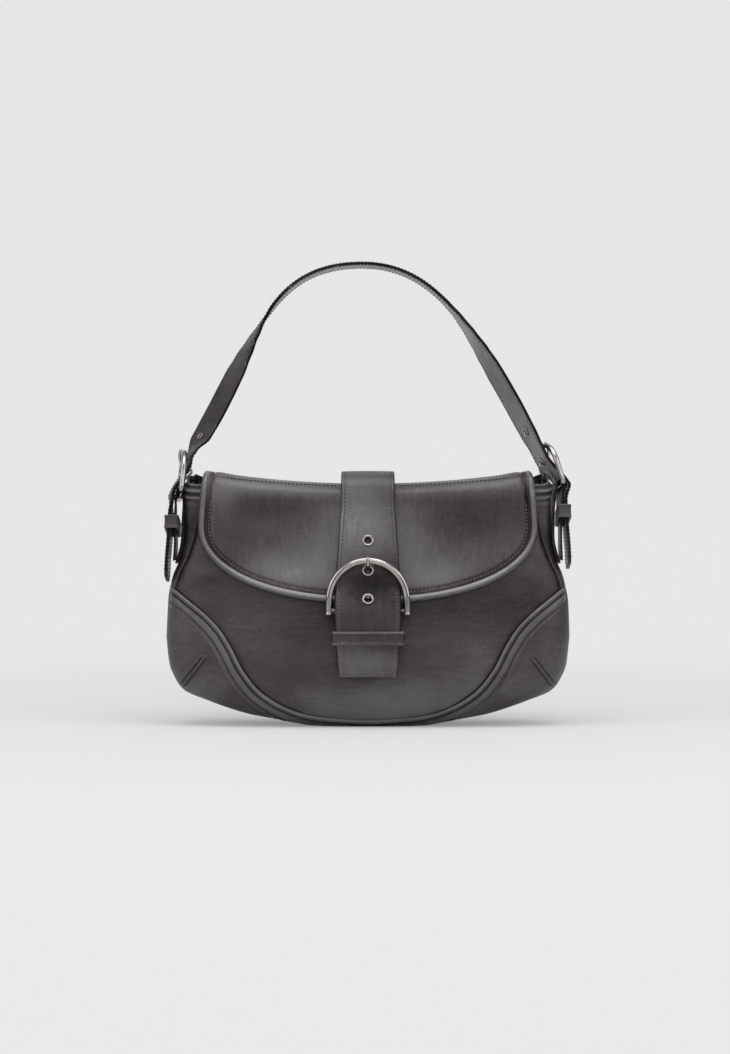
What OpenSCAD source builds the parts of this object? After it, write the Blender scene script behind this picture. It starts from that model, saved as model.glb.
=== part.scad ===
// Baguette shoulder bag with a rounded flap, a buckled centre strap and an adjustable shoulder strap.
// Millimetres. X runs to the right, Y to the back and Z up. The origin is the centre of the flat foot.

/* [Body] */
// Half width of the body at the belly, its widest place
belly_half = 138; // [130:1:148]
// Height of the belly above the foot
belly_z = 60; // [54:1:66]
// Half width of the flat foot that the bag rests on
foot_half = 38; // [30:1:46]
// Half width of the body at the mouth
mouth_half = 124; // [120:1:127]
// Height at which the body has its mouth width and depth
body_top = 172; // [168:1:178]
// Half depth of the body at its deepest
belly_depth = 36; // [32:1:40]
// Height of the deepest place
deep_z = 36; // [28:1:44]
// Half depth of the flat foot
foot_depth = 16; // [12:1:20]
// Half depth of the mouth at its middle
mouth_depth = 18; // [17:1:21]
// How long the body stays full on its way up, as an exponent
fullness = 1.3; // [1.1:0.1:1.6]
// Roundness of the front in plan, as a superellipse exponent
front_round = 2.5; // [2.3:0.1:2.8]
// Roundness of the flatter back in plan
back_round = 4; // [3.4:0.2:4.4]
// Thickness of the body leather
leather = 1.6; // [1.2:0.1:2]

/* [Rims and seams] */
// Height of the front rim at its middle
front_rim = 156; // [152:1:158]
// Height of the back rim at its middle
back_rim = 159; // [156:1:160]
// Height that both rims gain at the ends of the mouth
rim_rise = 8; // [6:1:9]
// Half width of the side gussets
gusset_half = 10; // [8:1:12]
// Height of the corner where the base band meets the gusset
corner_z = 93; // [86:1:98]
// Gap left for the stitching between two joined panels
seam_gap = 0.3; // [0.2:0.1:0.5]
// Gap between the body leather and the lining
lining_gap = 0.9; // [0.6:0.1:1]
// Thickness of the lining cloth
lining_t = 0.8; // [0.6:0.1:1.2]

/* [Flap] */
// Half width of the flap at its widest
flap_half = 115; // [110:1:117]
// How far each end of the flap stays inside the end of the mouth
flap_end_gap = 12.5; // [12:0.5:18]
// Height of the widest part of the flap
flap_wide_z = 136; // [132:1:142]
// Height of the flap's lower edge at its middle
flap_low_z = 83.5; // [80:0.5:90]
// Roundness of the flap's lower edge, as a superellipse exponent
flap_round = 2.2; // [2:0.1:2.5]
// Height at which the flap starts to turn over the mouth
fold_z = 150; // [146:1:151]
// Height of the flap's top at its middle
flap_top_mid = 165.5; // [164.5:0.5:166.5]
// Height of the flap's top at its ends
flap_top_end = 174.5; // [173:0.5:175]
// Thickness of the flap's leather
flap_t = 1.4; // [1.2:0.1:1.8]
// Thickness of the flap's own lining
flap_lining_t = 0.9; // [0.7:0.1:1.1]
// Gap between the closed flap and the body
flap_gap = 0.5; // [0.5:0.1:0.8]
// Radius of the padded piping round the flap
piping_r = 2.4; // [2:0.1:2.6]
// Place of the flap's hinge line behind the middle of the mouth
hinge_y = 11; // [10:0.5:12]
// Height down to which the flap is sewn to the back
anchor_low_z = 140; // [134:1:144]

/* [Centre strap] */
// Thickness of the centre strap
strap_t = 2.6; // [2.2:0.1:3]
// Half width of the centre strap over the mouth
strap_top_half = 18.2; // [16:0.2:19]
// Half width of the centre strap at the buckle
strap_buckle_half = 22.4; // [20:0.2:23]
// Half width of the centre strap at its square end
strap_end_half = 19.7; // [18:0.2:21]
// Height of the strap's square end
strap_end_z = 35; // [32:1:40]
// Height of the strap's top over the mouth
strap_top_z = 174; // [173:0.5:174.4]
// Height of the lowest eyelet
eyelet_low_z = 86; // [85:0.5:88]
// Distance between neighbouring eyelets
eyelet_step = 19.8; // [19.4:0.1:20.2]
// Outer radius of the eyelets
eyelet_r = 4; // [3.6:0.1:4.4]
// Radius of the eyelets' holes
eyelet_hole_r = 2.25; // [2.1:0.05:2.4]
// Height of the keeper's middle
keeper_z = 61.5; // [58:0.5:64]
// Height of the keeper's band
keeper_band = 9.5; // [8:0.5:12]
// Thickness of the leather of the keepers and the chape
keeper_t = 1.3; // [1.1:0.1:1.5]

/* [Buckle] */
// Radius of the buckle's arch, to the middle of the wire
buckle_r = 26; // [25.6:0.1:27]
// Radius of the buckle's wire
buckle_wire_r = 2.4; // [2.1:0.1:2.6]
// Height of the arch's centre
buckle_z = 86.8; // [86:0.2:88]
// Length of the straight arms below the arch's centre
buckle_arm = 9.6; // [9:0.2:11]
// Height of the buckle's bar
bar_z = 79.5; // [79:0.5:80]
// Radius of the buckle's bar
bar_r = 1.7; // [1.5:0.1:1.8]
// Radius of the buckle's prong
prong_r = 1; // [0.9:0.05:1.05]
// Height of the magnetic snap
snap_z = 102; // [98:1:106]
// Radius of the magnetic snap
snap_r = 7; // [6.5:0.5:8]

/* [Shoulder strap] */
// Width of the shoulder strap
handle_w = 25; // [22:0.5:26]
// Thickness of the shoulder strap
handle_t = 2.2; // [1.8:0.1:2.4]
// Height of the strap's top above the bag's foot, measured with the strap upright
arch_z = 327; // [300:1:350]
// How far left of the middle the top of the strap lies
arch_shift = 4; // [0:1:8]
// Slope of the left leg where it leaves its buckle
left_slope = 61; // [58:1:64]
// Slope of the right leg where it leaves its buckle
right_slope = 64; // [60:1:66]
// Angle by which the standing strap leans back
lean = 14; // [12:1:15]
// Twist of the left leg
left_twist = 33; // [20:1:36]
// Twist of the right leg
right_twist = 22; // [14:1:26]
// Distance from a side buckle's arch up to the strap's spare eyelet
spare_eyelet = 13; // [11:0.5:16]

/* [Side buckles] */
// Height of the line about which the shoulder strap swings on its tabs
swing_z = 130; // [128:1:132]
// Half width of the side buckles, to the middle of the wire
side_r = 14.8; // [14.5:0.1:15.2]
// Height of the side buckles, from bar to arch
side_h = 30; // [28:1:32]
// Radius of the side buckles' wire
side_wire_r = 1.9; // [1.6:0.1:2]
// How far the left bar lies outside the end of the mouth
left_bar_out = 5.8; // [5:0.2:6.4]
// Height of the left bar
left_bar_z = 158.5; // [157:0.5:160]
// Turn of the left buckle
left_yaw = 8; // [4:1:12]
// Inward tilt of the left buckle
left_tilt = 4; // [2:1:6]
// How far the right bar lies outside the end of the mouth
right_bar_out = 6; // [5.4:0.2:6.6]
// Height of the right bar
right_bar_z = 164; // [162:0.5:165]
// Turn of the right buckle
right_yaw = 16; // [14:1:20]
// Inward tilt of the right buckle
right_tilt = 17; // [14:1:19]
// Width of the side tabs
tab_w = 21; // [18:0.5:22]
// Thickness of the side tabs' leather
tab_t = 1.4; // [1.2:0.1:1.6]
// Height of the tabs' lower ends
tab_low_z = 111; // [110:1:114]

/* [Hidden] */
$fn = 48;

charcoal = [0.2, 0.19, 0.19];
soft_charcoal = [0.26, 0.25, 0.25];
strap_charcoal = [0.17, 0.16, 0.16];
cloth_black = [0.1, 0.1, 0.11];
gunmetal = [0.62, 0.6, 0.58];

// The foot is cut flat this far up the rounded underside
foot_cut = 0.5;
// The flap and the side buckles keep to the ends of the mouth
flap_top_half = mouth_half - flap_end_gap;
left_bar_x = mouth_half + left_bar_out;
right_bar_x = mouth_half + right_bar_out;
// Clearance between pieces that only touch
touch = 0.15;
// Clearance between a wire and what passes over it
ride = 0.25;

// Curves are smooth and pass through their points without overshooting

function span(p, x, i = 0) = (i >= len(p) - 2 || x <= p[i + 1][0]) ? i : span(p, x, i + 1);
function steep(p, i) = (p[i + 1][1] - p[i][1]) / (p[i + 1][0] - p[i][0]);
function tangent(p, i) =
    i == 0 ? steep(p, 0)
    : i == len(p) - 1 ? steep(p, i - 1)
    : let (a = steep(p, i - 1), b = steep(p, i)) a * b <= 0 ? 0 : 2 * a * b / (a + b);
function curve(p, x) =
    let (
        i = span(p, x),
        h = p[i + 1][0] - p[i][0],
        t = (x - p[i][0]) / h
    )
    (2 * t * t * t - 3 * t * t + 1) * p[i][1]
    + (t * t * t - 2 * t * t + t) * h * tangent(p, i)
    + (3 * t * t - 2 * t * t * t) * p[i + 1][1]
    + (t * t * t - t * t) * h * tangent(p, i + 1);
function unit(v) = v / norm(v);
function mix(a, b, t) = a + (b - a) * t;
function ease(t) = let (s = max(0, min(1, t))) s * s * (3 - 2 * s);
function bezier(a, b, c, d, t) =
    (1 - t) * (1 - t) * (1 - t) * a + 3 * (1 - t) * (1 - t) * t * b
    + 3 * (1 - t) * t * t * c + t * t * t * d;

// Share of the swell from foot to belly, against the share of the belly's height
lower_swell = [[0, 0], [0.07, 0.24], [0.14, 0.45], [0.275, 0.7], [0.41, 0.885],
    [0.55, 0.945], [0.7, 0.98], [1, 1]];
// Share of the swell left between belly and mouth, against the share of that height
upper_swell = [[0, 1], [0.2, 0.95], [0.3, 0.86], [0.38, 0.71], [0.5, 0.3], [0.62, 0.08],
    [0.8, 0], [1, 0]];
// Seam of the base band: share of the belly's half width, against the share of the corner's height
seam_line = [[0.04, 0], [0.068, 0.25], [0.113, 0.38], [0.194, 0.493], [0.3, 0.572],
    [0.435, 0.632], [0.56, 0.672], [0.69, 0.725], [0.806, 0.8], [0.92, 0.9], [1, 0.975]];
// Where each seam point's cross line reaches the outline: share of height against share of height
edge_line = [[0.04, 0], [0.068, 0.014], [0.113, 0.04], [0.194, 0.1], [0.3, 0.18],
    [0.435, 0.3], [0.56, 0.43], [0.69, 0.56], [0.806, 0.71], [0.92, 0.87], [1, 1]];

function half_width(z) =
    z < belly_z
    ? mix(foot_half, belly_half, curve(lower_swell, (z + foot_cut) / (belly_z + foot_cut)))
    : mix(mouth_half, belly_half, curve(upper_swell, (z - belly_z) / (body_top - belly_z)));
function half_depth(z) =
    z < deep_z
    ? let (t = 1 - max(0, z + foot_cut) / (deep_z + foot_cut))
        mix(foot_depth, belly_depth, sqrt(1 - t * t))
    : let (t = pow(min(1, (z - deep_z) / (body_top - deep_z)), fullness))
        mix(mouth_depth, belly_depth, (1 + cos(180 * t)) / 2);
function roundness(side) = side < 0 ? front_round : back_round;
function depth_at(x, z, side) =
    let (n = roundness(side))
    half_depth(z) * pow(max(1e-6, 1 - pow(abs(x) / half_width(z), n)), 1 / n);
function width_at(y, z) =
    let (n = roundness(y < 0 ? -1 : 1))
    half_width(z) * pow(max(1e-6, 1 - pow(abs(y) / half_depth(z), n)), 1 / n);
// A point of the body's surface at x and z, lifted outwards by d. Side -1 is the front, 1 the back
function body_point(x, z, side, d = 0) =
    let (
        e = 0.1,
        dx = (depth_at(x + e, z, side) - depth_at(x - e, z, side)) / (2 * e),
        dz = (depth_at(x, z + e, side) - depth_at(x, z - e, side)) / (2 * e)
    )
    [x, side * depth_at(x, z, side), z] + d * unit([-dx, side, -dz]);
function side_point(y, z, hand, d = 0) =
    let (
        e = 0.1,
        dy = (width_at(y + e, z) - width_at(y - e, z)) / (2 * e),
        dz = (width_at(y, z + e) - width_at(y, z - e)) / (2 * e)
    )
    [hand * width_at(y, z), y, z] + d * unit([hand, -dy, -dz]);

// Places from -1 to 1, closer together towards the ends where the body turns
function spread(i, n) = let (u = 2 * i / n - 1) 0.25 * u + 0.75 * sin(90 * u);

// Solids from grids and rings of points

// A closed sheet between two grids of points. The outer grid faces away from the inner one
module sheet(outer, inner) {
    m = len(outer);
    n = len(outer[0]);
    k = m * n;
    points = concat([for (row = outer) each row], [for (row = inner) each row]);
    faces = [
        for (j = [0 : m - 2]) for (i = [0 : n - 2])
            let (a = j * n + i, b = a + 1, c = a + n + 1, d = a + n)
            each [[a, c, b], [a, d, c], [k + a, k + b, k + c], [k + a, k + c, k + d]],
        for (i = [0 : n - 2])
            let (a = i, b = i + 1, c = (m - 1) * n + i, d = c + 1)
            each [[a, b, k + b], [a, k + b, k + a], [c, k + d, d], [c, k + c, k + d]],
        for (j = [0 : m - 2])
            let (a = j * n, b = a + n, c = a + n - 1, d = c + n)
            each [[a, k + b, b], [a, k + a, k + b], [c, d, k + d], [c, k + d, k + c]]
    ];
    polyhedron(points = points, faces = faces, convexity = 6);
}

// A closed solid through rings of points, with a fan over each end
module loft(rings) {
    m = len(rings);
    n = len(rings[0]);
    first = [for (k = [0 : 2]) mean([for (p = rings[0]) p[k]])];
    last = [for (k = [0 : 2]) mean([for (p = rings[m - 1]) p[k]])];
    points = concat([for (ring = rings) each ring], [first, last]);
    faces = [
        for (j = [0 : m - 2]) for (i = [0 : n - 1])
            let (a = j * n + i, b = j * n + (i + 1) % n, c = b + n, d = a + n)
            each [[a, c, b], [a, d, c]],
        for (i = [0 : n - 1]) let (j = (i + 1) % n)
            each [[m * n, i, j], [m * n + 1, (m - 1) * n + j, (m - 1) * n + i]]
    ];
    polyhedron(points = points, faces = faces, convexity = 6);
}
function mean(v) = v * [for (i = v) 1] / len(v);
function along(p, i) = unit(p[min(i + 1, len(p) - 1)] - p[max(i - 1, 0)]);

// A flat strap along points p, with across directions w, half widths h and thickness t
module ribbon(p, w, h, t) {
    loft([
        for (i = [0 : len(p) - 1])
            let (a = unit(w[i]), n = unit(cross(along(p, i), a)) * t / 2)
            [p[i] - a * h[i] - n, p[i] + a * h[i] - n, p[i] + a * h[i] + n, p[i] - a * h[i] + n]
    ]);
}

// A round cord along points p, with one lift direction u for each
module tube(p, u, r, sides = 8) {
    loft([
        for (i = [0 : len(p) - 1])
            let (t = along(p, i), b = unit(cross(t, u[i])), a = cross(b, t))
            [for (s = [0 : sides - 1]) p[i] + r * (cos(360 * s / sides) * a + sin(360 * s / sides) * b)]
    ]);
}

// The body

// Heights of the rows that follow the base band's seam, as shares of the corner's height
seam_rows = [0.045, 0.068, 0.09, 0.113, 0.15, 0.194, 0.245, 0.3, 0.365, 0.435, 0.5, 0.56,
    0.625, 0.69, 0.75, 0.806, 0.863, 0.92, 0.965, 1];
panel_columns = 20;
rim_rows = 8;
// Share of the body's half width at which a panel meets the gusset
function gusset_share(z, side) =
    let (n = roundness(side)) pow(1 - pow(gusset_half / half_depth(z), n), 1 / n);
function seam_x(z, side) =
    let (
        s = curve(seam_line, z / corner_z),
        meet = gusset_share(corner_z, side) - seam_line[len(seam_line) - 1][1]
    )
    (s + meet * ease((s - 0.7) * 3.6)) * mix(half_width(z), belly_half, ease((0.5 - s) * 4));
// Half width of a panel at height z, up to its seam with the band or the gusset
function panel_half(z, side) =
    z < corner_z ? seam_x(z, side) : half_width(z) * gusset_share(z, side);
function edge_z(v, rim) = mix(corner_z, rim + rim_rise, v);
function rim_share(j) = pow(j / rim_rows, 1.2);
function panel_grid(side, rim, d) = [
    for (share = seam_rows)
        let (z = share * corner_z, w = panel_half(z, side) - seam_gap)
        [for (i = [0 : panel_columns]) body_point(-side * spread(i, panel_columns) * w, z, side, d)],
    for (j = [1 : rim_rows])
        let (v = rim_share(j), w = panel_half(edge_z(v, rim), side) - seam_gap)
        [for (i = [0 : panel_columns])
            let (u = spread(i, panel_columns))
            body_point(-side * u * w, mix(corner_z, rim + rim_rise * u * u, v), side, d)]
];

module front_panel() {
    color(charcoal) difference() {
        sheet(panel_grid(-1, front_rim, 0), panel_grid(-1, front_rim, -leather));
        on_body(snap_z, -5) cylinder(r = snap_r + touch, h = 10);
    }
}

module back_panel() {
    color(charcoal) sheet(panel_grid(1, back_rim, 0), panel_grid(1, back_rim, -leather));
}

// The band runs under the bag from corner to corner, and each corner is a wide patch
band_steps = [0, 0.25, 0.5, 0.7, 0.86, 0.97];
function band_stations() = concat(
    [for (i = [len(seam_rows) - 1 : -1 : 0]) [-1, seam_rows[i]]],
    [[0, seam_rows[0]]],
    [for (s = seam_rows) [1, s]]);
function band_cross(hand, s, side, d) =
    let (
        z0 = s * corner_z,
        x0 = abs(hand) * panel_half(z0, side),
        low = seam_rows[2],
        z1 = mix(-foot_cut, corner_z, curve(edge_line, s)),
        x1 = s >= low ? half_width(z1)
            : abs(hand) * x0 * half_width(mix(-foot_cut, corner_z, curve(edge_line, low)))
                / panel_half(low * corner_z, side)
    )
    [for (w = band_steps)
        let (t = 1 - pow(1 - w, 2.5))
        body_point(hand * mix(x0, x1, t), mix(z0, z1, t), side, d)];
function band_row(station, d) =
    let (
        front = band_cross(station[0], station[1], -1, d),
        back = band_cross(station[0], station[1], 1, d)
    )
    concat(front, [for (i = [len(back) - 1 : -1 : 0]) back[i]]);

module base_band() {
    color(soft_charcoal) difference() {
        sheet([for (s = band_stations()) band_row(s, 0)],
            [for (s = band_stations()) band_row(s, -leather)]);
        translate([-belly_half, -belly_depth, -20]) cube([2 * belly_half, 2 * belly_depth, 20]);
    }
}

gusset_columns = 6;
module gusset(hand) {
    g = gusset_half - seam_gap;
    grid = function (d) [
        for (j = [0 : rim_rows])
            [for (i = [0 : gusset_columns])
                let (
                    y = hand * mix(-g, g, i / gusset_columns),
                    z = edge_z(rim_share(j), mix(front_rim, back_rim, (y + g) / (2 * g)))
                )
                side_point(y, z + (j == 0 ? seam_gap : 0), hand, d)]
    ];
    color(soft_charcoal) sheet(grid(0), grid(-leather));
}
module gusset_left() gusset(-1);
module gusset_right() gusset(1);

// The lining is one pocket of cloth that hangs inside the leather
lining_rows = [0.035, 0.07, 0.13, 0.22, 0.34, 0.48, 0.55, 0.62, 0.69, 0.76, 0.88, 0.985];
lining_turns = [10, 19, 30, 44, 60, 75, 90];
function lining_ring(z, d) =
    let (
        xs = [for (t = lining_turns) cos(t)],
        one = function (c, side) body_point(
            c * half_width(z) * 0.985, z, side, d)
    )
    concat(
        [for (c = xs) one(c, 1)],
        [for (i = [len(xs) - 2 : -1 : 0]) one(-xs[i], 1)],
        [for (c = xs) one(-c, -1)],
        [for (i = [len(xs) - 2 : -1 : 0]) one(xs[i], -1)]
    );
module lining() {
    outer = leather + lining_gap;
    color(cloth_black) loft(concat(
        [for (s = lining_rows) lining_ring(s * front_rim, -outer)],
        [for (i = [len(lining_rows) - 1 : -1 : 0])
            lining_ring(lining_rows[i] * front_rim, -outer - lining_t)]));
}

// The flap

flap_stack = flap_t + touch + flap_lining_t;
function flap_top_at(x) =
    mix(flap_top_mid, flap_top_end, pow(min(1.05, abs(x) / flap_top_half), 2));
// Rows of the hanging part: half width and height, drawn in by e from the outline
flap_turns = [88, 84, 78, 70, 61, 51, 40, 27, 13, 0];
function flap_rows(e) = concat(
    [for (b = flap_turns)
        [(flap_half - e) * pow(cos(b), 2 / flap_round),
         flap_wide_z - (flap_wide_z - flap_low_z - e) * pow(sin(b), 2 / flap_round)]],
    [[mix(flap_half, flap_top_half, 0.5) - e, mix(flap_wide_z, fold_z, 0.5)],
     [flap_top_half - e, fold_z]]);
// The turn over the mouth is a squarish quarter from the fold to the hinge line
fold_square = 0.6;
fold_turns = [15, 30, 45, 60, 75, 90];
function fold_point(x, a, d) =
    let (
        start = body_point(x, fold_z, -1, flap_gap + flap_stack),
        ry = hinge_y - touch - start[1],
        rz = flap_top_at(x) - fold_z,
        n = unit([0, -rz * pow(cos(a), 2 - fold_square), ry * pow(sin(a), 2 - fold_square)])
    )
    [start[0], start[1] + ry * (1 - pow(max(0, cos(a)), fold_square)),
        fold_z + rz * pow(sin(a), fold_square)] + d * n;
// Depth d is measured inwards from the flap's outer face
function flap_point(x, z, d) =
    body_point(x, z, -1, flap_gap + flap_stack - d);
flap_columns = 20;
function flap_grid(e, d) = concat(
    [for (row = flap_rows(e))
        [for (i = [0 : flap_columns])
            flap_point(spread(i, flap_columns) * row[0], row[1], d)]],
    [for (a = fold_turns)
        [for (i = [0 : flap_columns])
            fold_point(spread(i, flap_columns) * (flap_top_half - e), a, -d)]]);

module flap_panel() {
    e = 2 * piping_r + touch;
    color(charcoal) sheet(flap_grid(e, 0), flap_grid(e, flap_t));
}
module flap_lining() {
    e = 2 * piping_r + touch + 0.6;
    color(cloth_black) difference() {
        sheet(flap_grid(e, flap_t + touch), flap_grid(e, flap_stack));
        on_body(snap_z, -5) cylinder(r = snap_r + touch, h = 10);
    }
}

// The piping follows the flap's border from hinge line to hinge line
function piping_half(hand) =
    let (
        e = piping_r,
        d = flap_stack - piping_r
    )
    concat(
        [for (row = flap_rows(e)) flap_point(hand * row[0], row[1], d)],
        [for (a = fold_turns) fold_point(hand * (flap_top_half - e), a, -d)]);
module flap_piping() {
    left = piping_half(-1);
    right = piping_half(1);
    p = concat([for (i = [len(left) - 1 : -1 : 0]) left[i]],
        [flap_point(0, flap_low_z + piping_r, flap_stack - piping_r)], right);
    color(soft_charcoal) tube(p, [for (q = p) [0, -1, 0.35]], piping_r);
}

// The flap is sewn to the outside of the back, from the hinge line down
anchor_rows = 4;
function anchor_grid(d) =
    let (
        lift = flap_gap + flap_t,
        rows = [for (j = [0 : anchor_rows]) mix(anchor_low_z, fold_z + 4, j / anchor_rows)],
        top = rows[anchor_rows],
        turn = [18, 36, 54, 72, 90],
        edge = function (x, a) let (
            start = body_point(x, top, 1, lift),
            ry = start[1] - hinge_y - touch,
            rz = flap_top_at(x) - top,
            n = unit([0, rz * pow(cos(a), 2 - fold_square), ry * pow(sin(a), 2 - fold_square)])
        ) [start[0], start[1] - ry * (1 - pow(max(0, cos(a)), fold_square)),
            top + rz * pow(sin(a), fold_square)] - d * n,
        half = flap_top_half - piping_r
    )
    concat(
        [for (z = rows) [for (i = [0 : 14])
            body_point(mix(half, -half, i / 14), z, 1, lift - d)]],
        [for (a = turn) [for (i = [0 : 14]) edge(mix(half, -half, i / 14), a)]]);
module flap_anchor() {
    color(charcoal) sheet(anchor_grid(0), anchor_grid(flap_t));
}

// The centre strap

// Room between flap and strap for the prong and the backs of the eyelets
layer = 2 * prong_r + 2 * ride + 0.7;
arch_seat_z = 99;
bar_ring = bar_r + touch + keeper_t - 0.2 + touch;
on_flap = flap_gap + flap_stack;
seat_y = depth_at(0, arch_seat_z, -1) + on_flap + layer;
// The buckle stands upright in front of the strap at its arch, and its bar is behind the strap
frame_y = -(seat_y + strap_t * 1.03 + buckle_wire_r + ride);
// Clear height of the strap's inner face above the body
strap_lift = [[strap_end_z - 3, 3.4], [46, 4.6], [58, 6.9], [68, 9.2],
    [bar_z, -frame_y + bar_ring - depth_at(0, bar_z, -1)],
    [arch_seat_z, on_flap + layer], [107, on_flap + layer], [116, on_flap + layer * 0.7],
    [126, on_flap + 1.35], [138, on_flap + 0.6], [fold_z, on_flap + touch]];
function strap_y(z) = -depth_at(0, z, -1) - curve(strap_lift, z);
// Widths follow their heights
strap_width = [[strap_end_z - 1, strap_end_half], [78, strap_buckle_half],
    [126, strap_buckle_half - 2.5], [fold_z, strap_top_half]];
// Turn by which the strap's face leans at height z
function strap_lean(z) = -atan2(strap_y(z + 3) - strap_y(z - 3), 6);
module on_strap(z, out = 0) {
    translate([0, strap_y(z), z]) rotate([90 + strap_lean(z), 0, 0]) translate([0, 0, out])
        children();
}
strap_heights = [35, 40, 46, 52, 58, 64, 70, 75, 80, 86, 92, 99, 106, 111, 116, 121, 126, 132, 138, 144];
function strap_path() =
    let (
        t = strap_t / 2,
        y0 = strap_y(fold_z) - t,
        ry = hinge_y - touch - y0,
        rz = strap_top_z - t - fold_z
    )
    concat(
        [for (h = strap_heights)
            let (z = h + (strap_end_z - 35) * (1 - ease((h - 35) / 40)))
            [0, strap_y(z) - t, z]],
        [for (a = [0, 12, 24, 36, 48, 60, 72, 82, 90])
            [0, y0 + ry * (1 - pow(max(0, cos(a)), fold_square)),
                fold_z + rz * pow(sin(a), fold_square)]]);
module centre_strap() {
    p = strap_path();
    color(strap_charcoal) difference() {
        ribbon(p, [for (q = p) [1, 0, 0]],
            [for (q = p) q[2] > fold_z ? strap_top_half : curve(strap_width, q[2])], strap_t);
        for (k = [0 : 2]) on_strap(eyelet_low_z + k * eyelet_step, -2)
            cylinder(r = eyelet_hole_r + eyelet_wall + touch, h = strap_t + 4);
    }
}

// The back end of the centre strap is sewn down over the flap's anchor
module strap_anchor() {
    t = strap_t / 2;
    rows = [anchor_low_z - 8, anchor_low_z, anchor_low_z + 8, fold_z + 4];
    down = [for (z = rows) [0, depth_at(0, z, 1) + flap_gap + flap_t + touch + t, z]];
    last = down[len(down) - 1];
    over = [for (a = [18, 36, 54, 72, 90])
        [0, last[1] - (last[1] - hinge_y - touch) * (1 - pow(max(0, cos(a)), fold_square)),
            last[2] + (strap_top_z - t - last[2]) * pow(sin(a), fold_square)]];
    p = concat(down, over);
    color(strap_charcoal)
        ribbon(p, [for (q = p) [-1, 0, 0]], [for (q = p) strap_top_half], strap_t);
}

// An eyelet is a tube with a rolled rim outside and a flat rim inside
eyelet_wall = 0.55;
eyelet_bead = 0.45;
eyelet_play = 0.52;
module eyelet(thick, r, hole) {
    outside = thick + eyelet_play;
    rotate_extrude() {
        translate([hole, -eyelet_play - 0.3]) square([eyelet_wall, outside + eyelet_play + 0.6]);
        translate([hole, -eyelet_play - 0.3]) square([r - hole - 0.6, 0.3]);
        translate([hole, outside]) square([r - hole - eyelet_bead, 0.4]);
        translate([r - eyelet_bead, outside + eyelet_bead]) circle(r = eyelet_bead, $fn = 24);
    }
}
module centre_eyelets() {
    color(gunmetal) for (k = [0 : 2])
        on_strap(eyelet_low_z + k * eyelet_step) eyelet(strap_t, eyelet_r, eyelet_hole_r);
}

// Places its children in the buckle's plane, with Y up from the arch's centre and Z to the front
module on_buckle() {
    translate([0, frame_y, buckle_z]) rotate([90, 0, 0]) children();
}
bar_drop = buckle_z - bar_z;
module buckle_frame() {
    color(gunmetal) on_buckle() {
        rotate_extrude(angle = 180) translate([buckle_r, 0]) circle(r = buckle_wire_r, $fn = 32);
        for (s = [-1, 1]) translate([s * buckle_r, 0, 0]) {
            rotate([90, 0, 0]) cylinder(r = buckle_wire_r, h = buckle_arm);
            translate([0, -buckle_arm + 0.3, 0]) rotate([90, 0, 0])
                cylinder(r = buckle_wire_r + 0.35, h = 1.2);
        }
        translate([-buckle_r, -bar_drop, 0]) rotate([0, 90, 0])
            cylinder(r = bar_r, h = 2 * buckle_r);
    }
}

// The chape is sewn to the flap, comes down over the piping and is folded round the bar
chape_w = 25;
chape_slot = 2.2 * prong_r + 1.4;
module buckle_chape() {
    t = keeper_t - 0.2;
    r = bar_r + touch + t / 2;
    front = function (z, lift) [0, -depth_at(0, z, -1) - lift - touch - t / 2, z];
    p = concat(
        [front(101, on_flap), front(96, on_flap), front(91.5, on_flap + 0.2),
         front(88.5, flap_gap + 2 * piping_r), front(85.5, flap_gap + 2 * piping_r)],
        [for (a = [-40 : 24.5 : 205]) [0, frame_y - r * cos(a), bar_z - r * sin(a)]]);
    color(strap_charcoal) difference() {
        ribbon(p, [for (q = p) [1, 0, 0]], [for (q = p) chape_w / 2], t);
        translate([-chape_slot / 2, frame_y - 10, bar_z - 10]) cube([chape_slot, 20, 40]);
    }
}

// A keeper is a flat band of leather closed round what it holds
module keeper_band_shape(w, d, t) {
    difference() {
        union() {
            square([w + 2 * t, d], center = true);
            square([w, d + 2 * t], center = true);
            for (x = [-w / 2, w / 2], y = [-d / 2, d / 2]) translate([x, y]) circle(r = t, $fn = 24);
        }
        square([w, d], center = true);
    }
}
module strap_keeper() {
    w = 2 * curve(strap_width, keeper_z) + 1;
    color(strap_charcoal) on_strap(keeper_z, strap_t / 2) rotate([90, 0, 0])
        translate([0, 0, -keeper_band / 2]) linear_extrude(keeper_band)
            keeper_band_shape(w, strap_t + 4 * touch, keeper_t);
}

// The prong turns on the bar, comes out through the middle eyelet and rests on the arch
prong_z = eyelet_low_z + eyelet_step;
module buckle_prong() {
    lean_in = strap_lean(prong_z);
    // Places at the eyelet: v up along the strap and n out of its inner face
    at_hole = function (v, n) [0, strap_y(prong_z) - n * cos(lean_in) + v * sin(lean_in),
        prong_z + v * cos(lean_in) + n * sin(lean_in)];
    under = function (z, lift) [0, -depth_at(0, z, -1) - lift - prong_r - ride, z];
    rest = frame_y - buckle_wire_r - prong_r - touch - 0.05;
    top = buckle_z + buckle_r;
    p = [
        [0, frame_y + 0.2, bar_z + 2], [0, frame_y + 0.8, bar_z + 4.4],
        under(87, flap_gap + 2 * piping_r + 0.1), under(93, on_flap + 1.5),
        under(99, on_flap + 0.3), under(102.4, on_flap), at_hole(-1.4, -1.88), at_hole(-0.6, 0.2),
        at_hole(0.1, 2.4), at_hole(0.6, 4.2),
        [0, rest + 1.7, top - 3.5], [0, rest + 0.4, top - 2], [0, rest, top + 0.4],
        [0, rest + 0.4, top + 2.8]
    ];
    color(gunmetal) {
        tube(p, [for (q = p) [1, 0, 0]], prong_r, 12);
        on_buckle() translate([-prong_r, -bar_drop, 0]) rotate([0, 90, 0]) difference() {
            cylinder(r = bar_r + keeper_t - 0.2, h = 2 * prong_r);
            translate([0, 0, -1]) cylinder(r = bar_r + 0.12, h = 2 * prong_r + 2);
        }
    }
}

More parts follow.
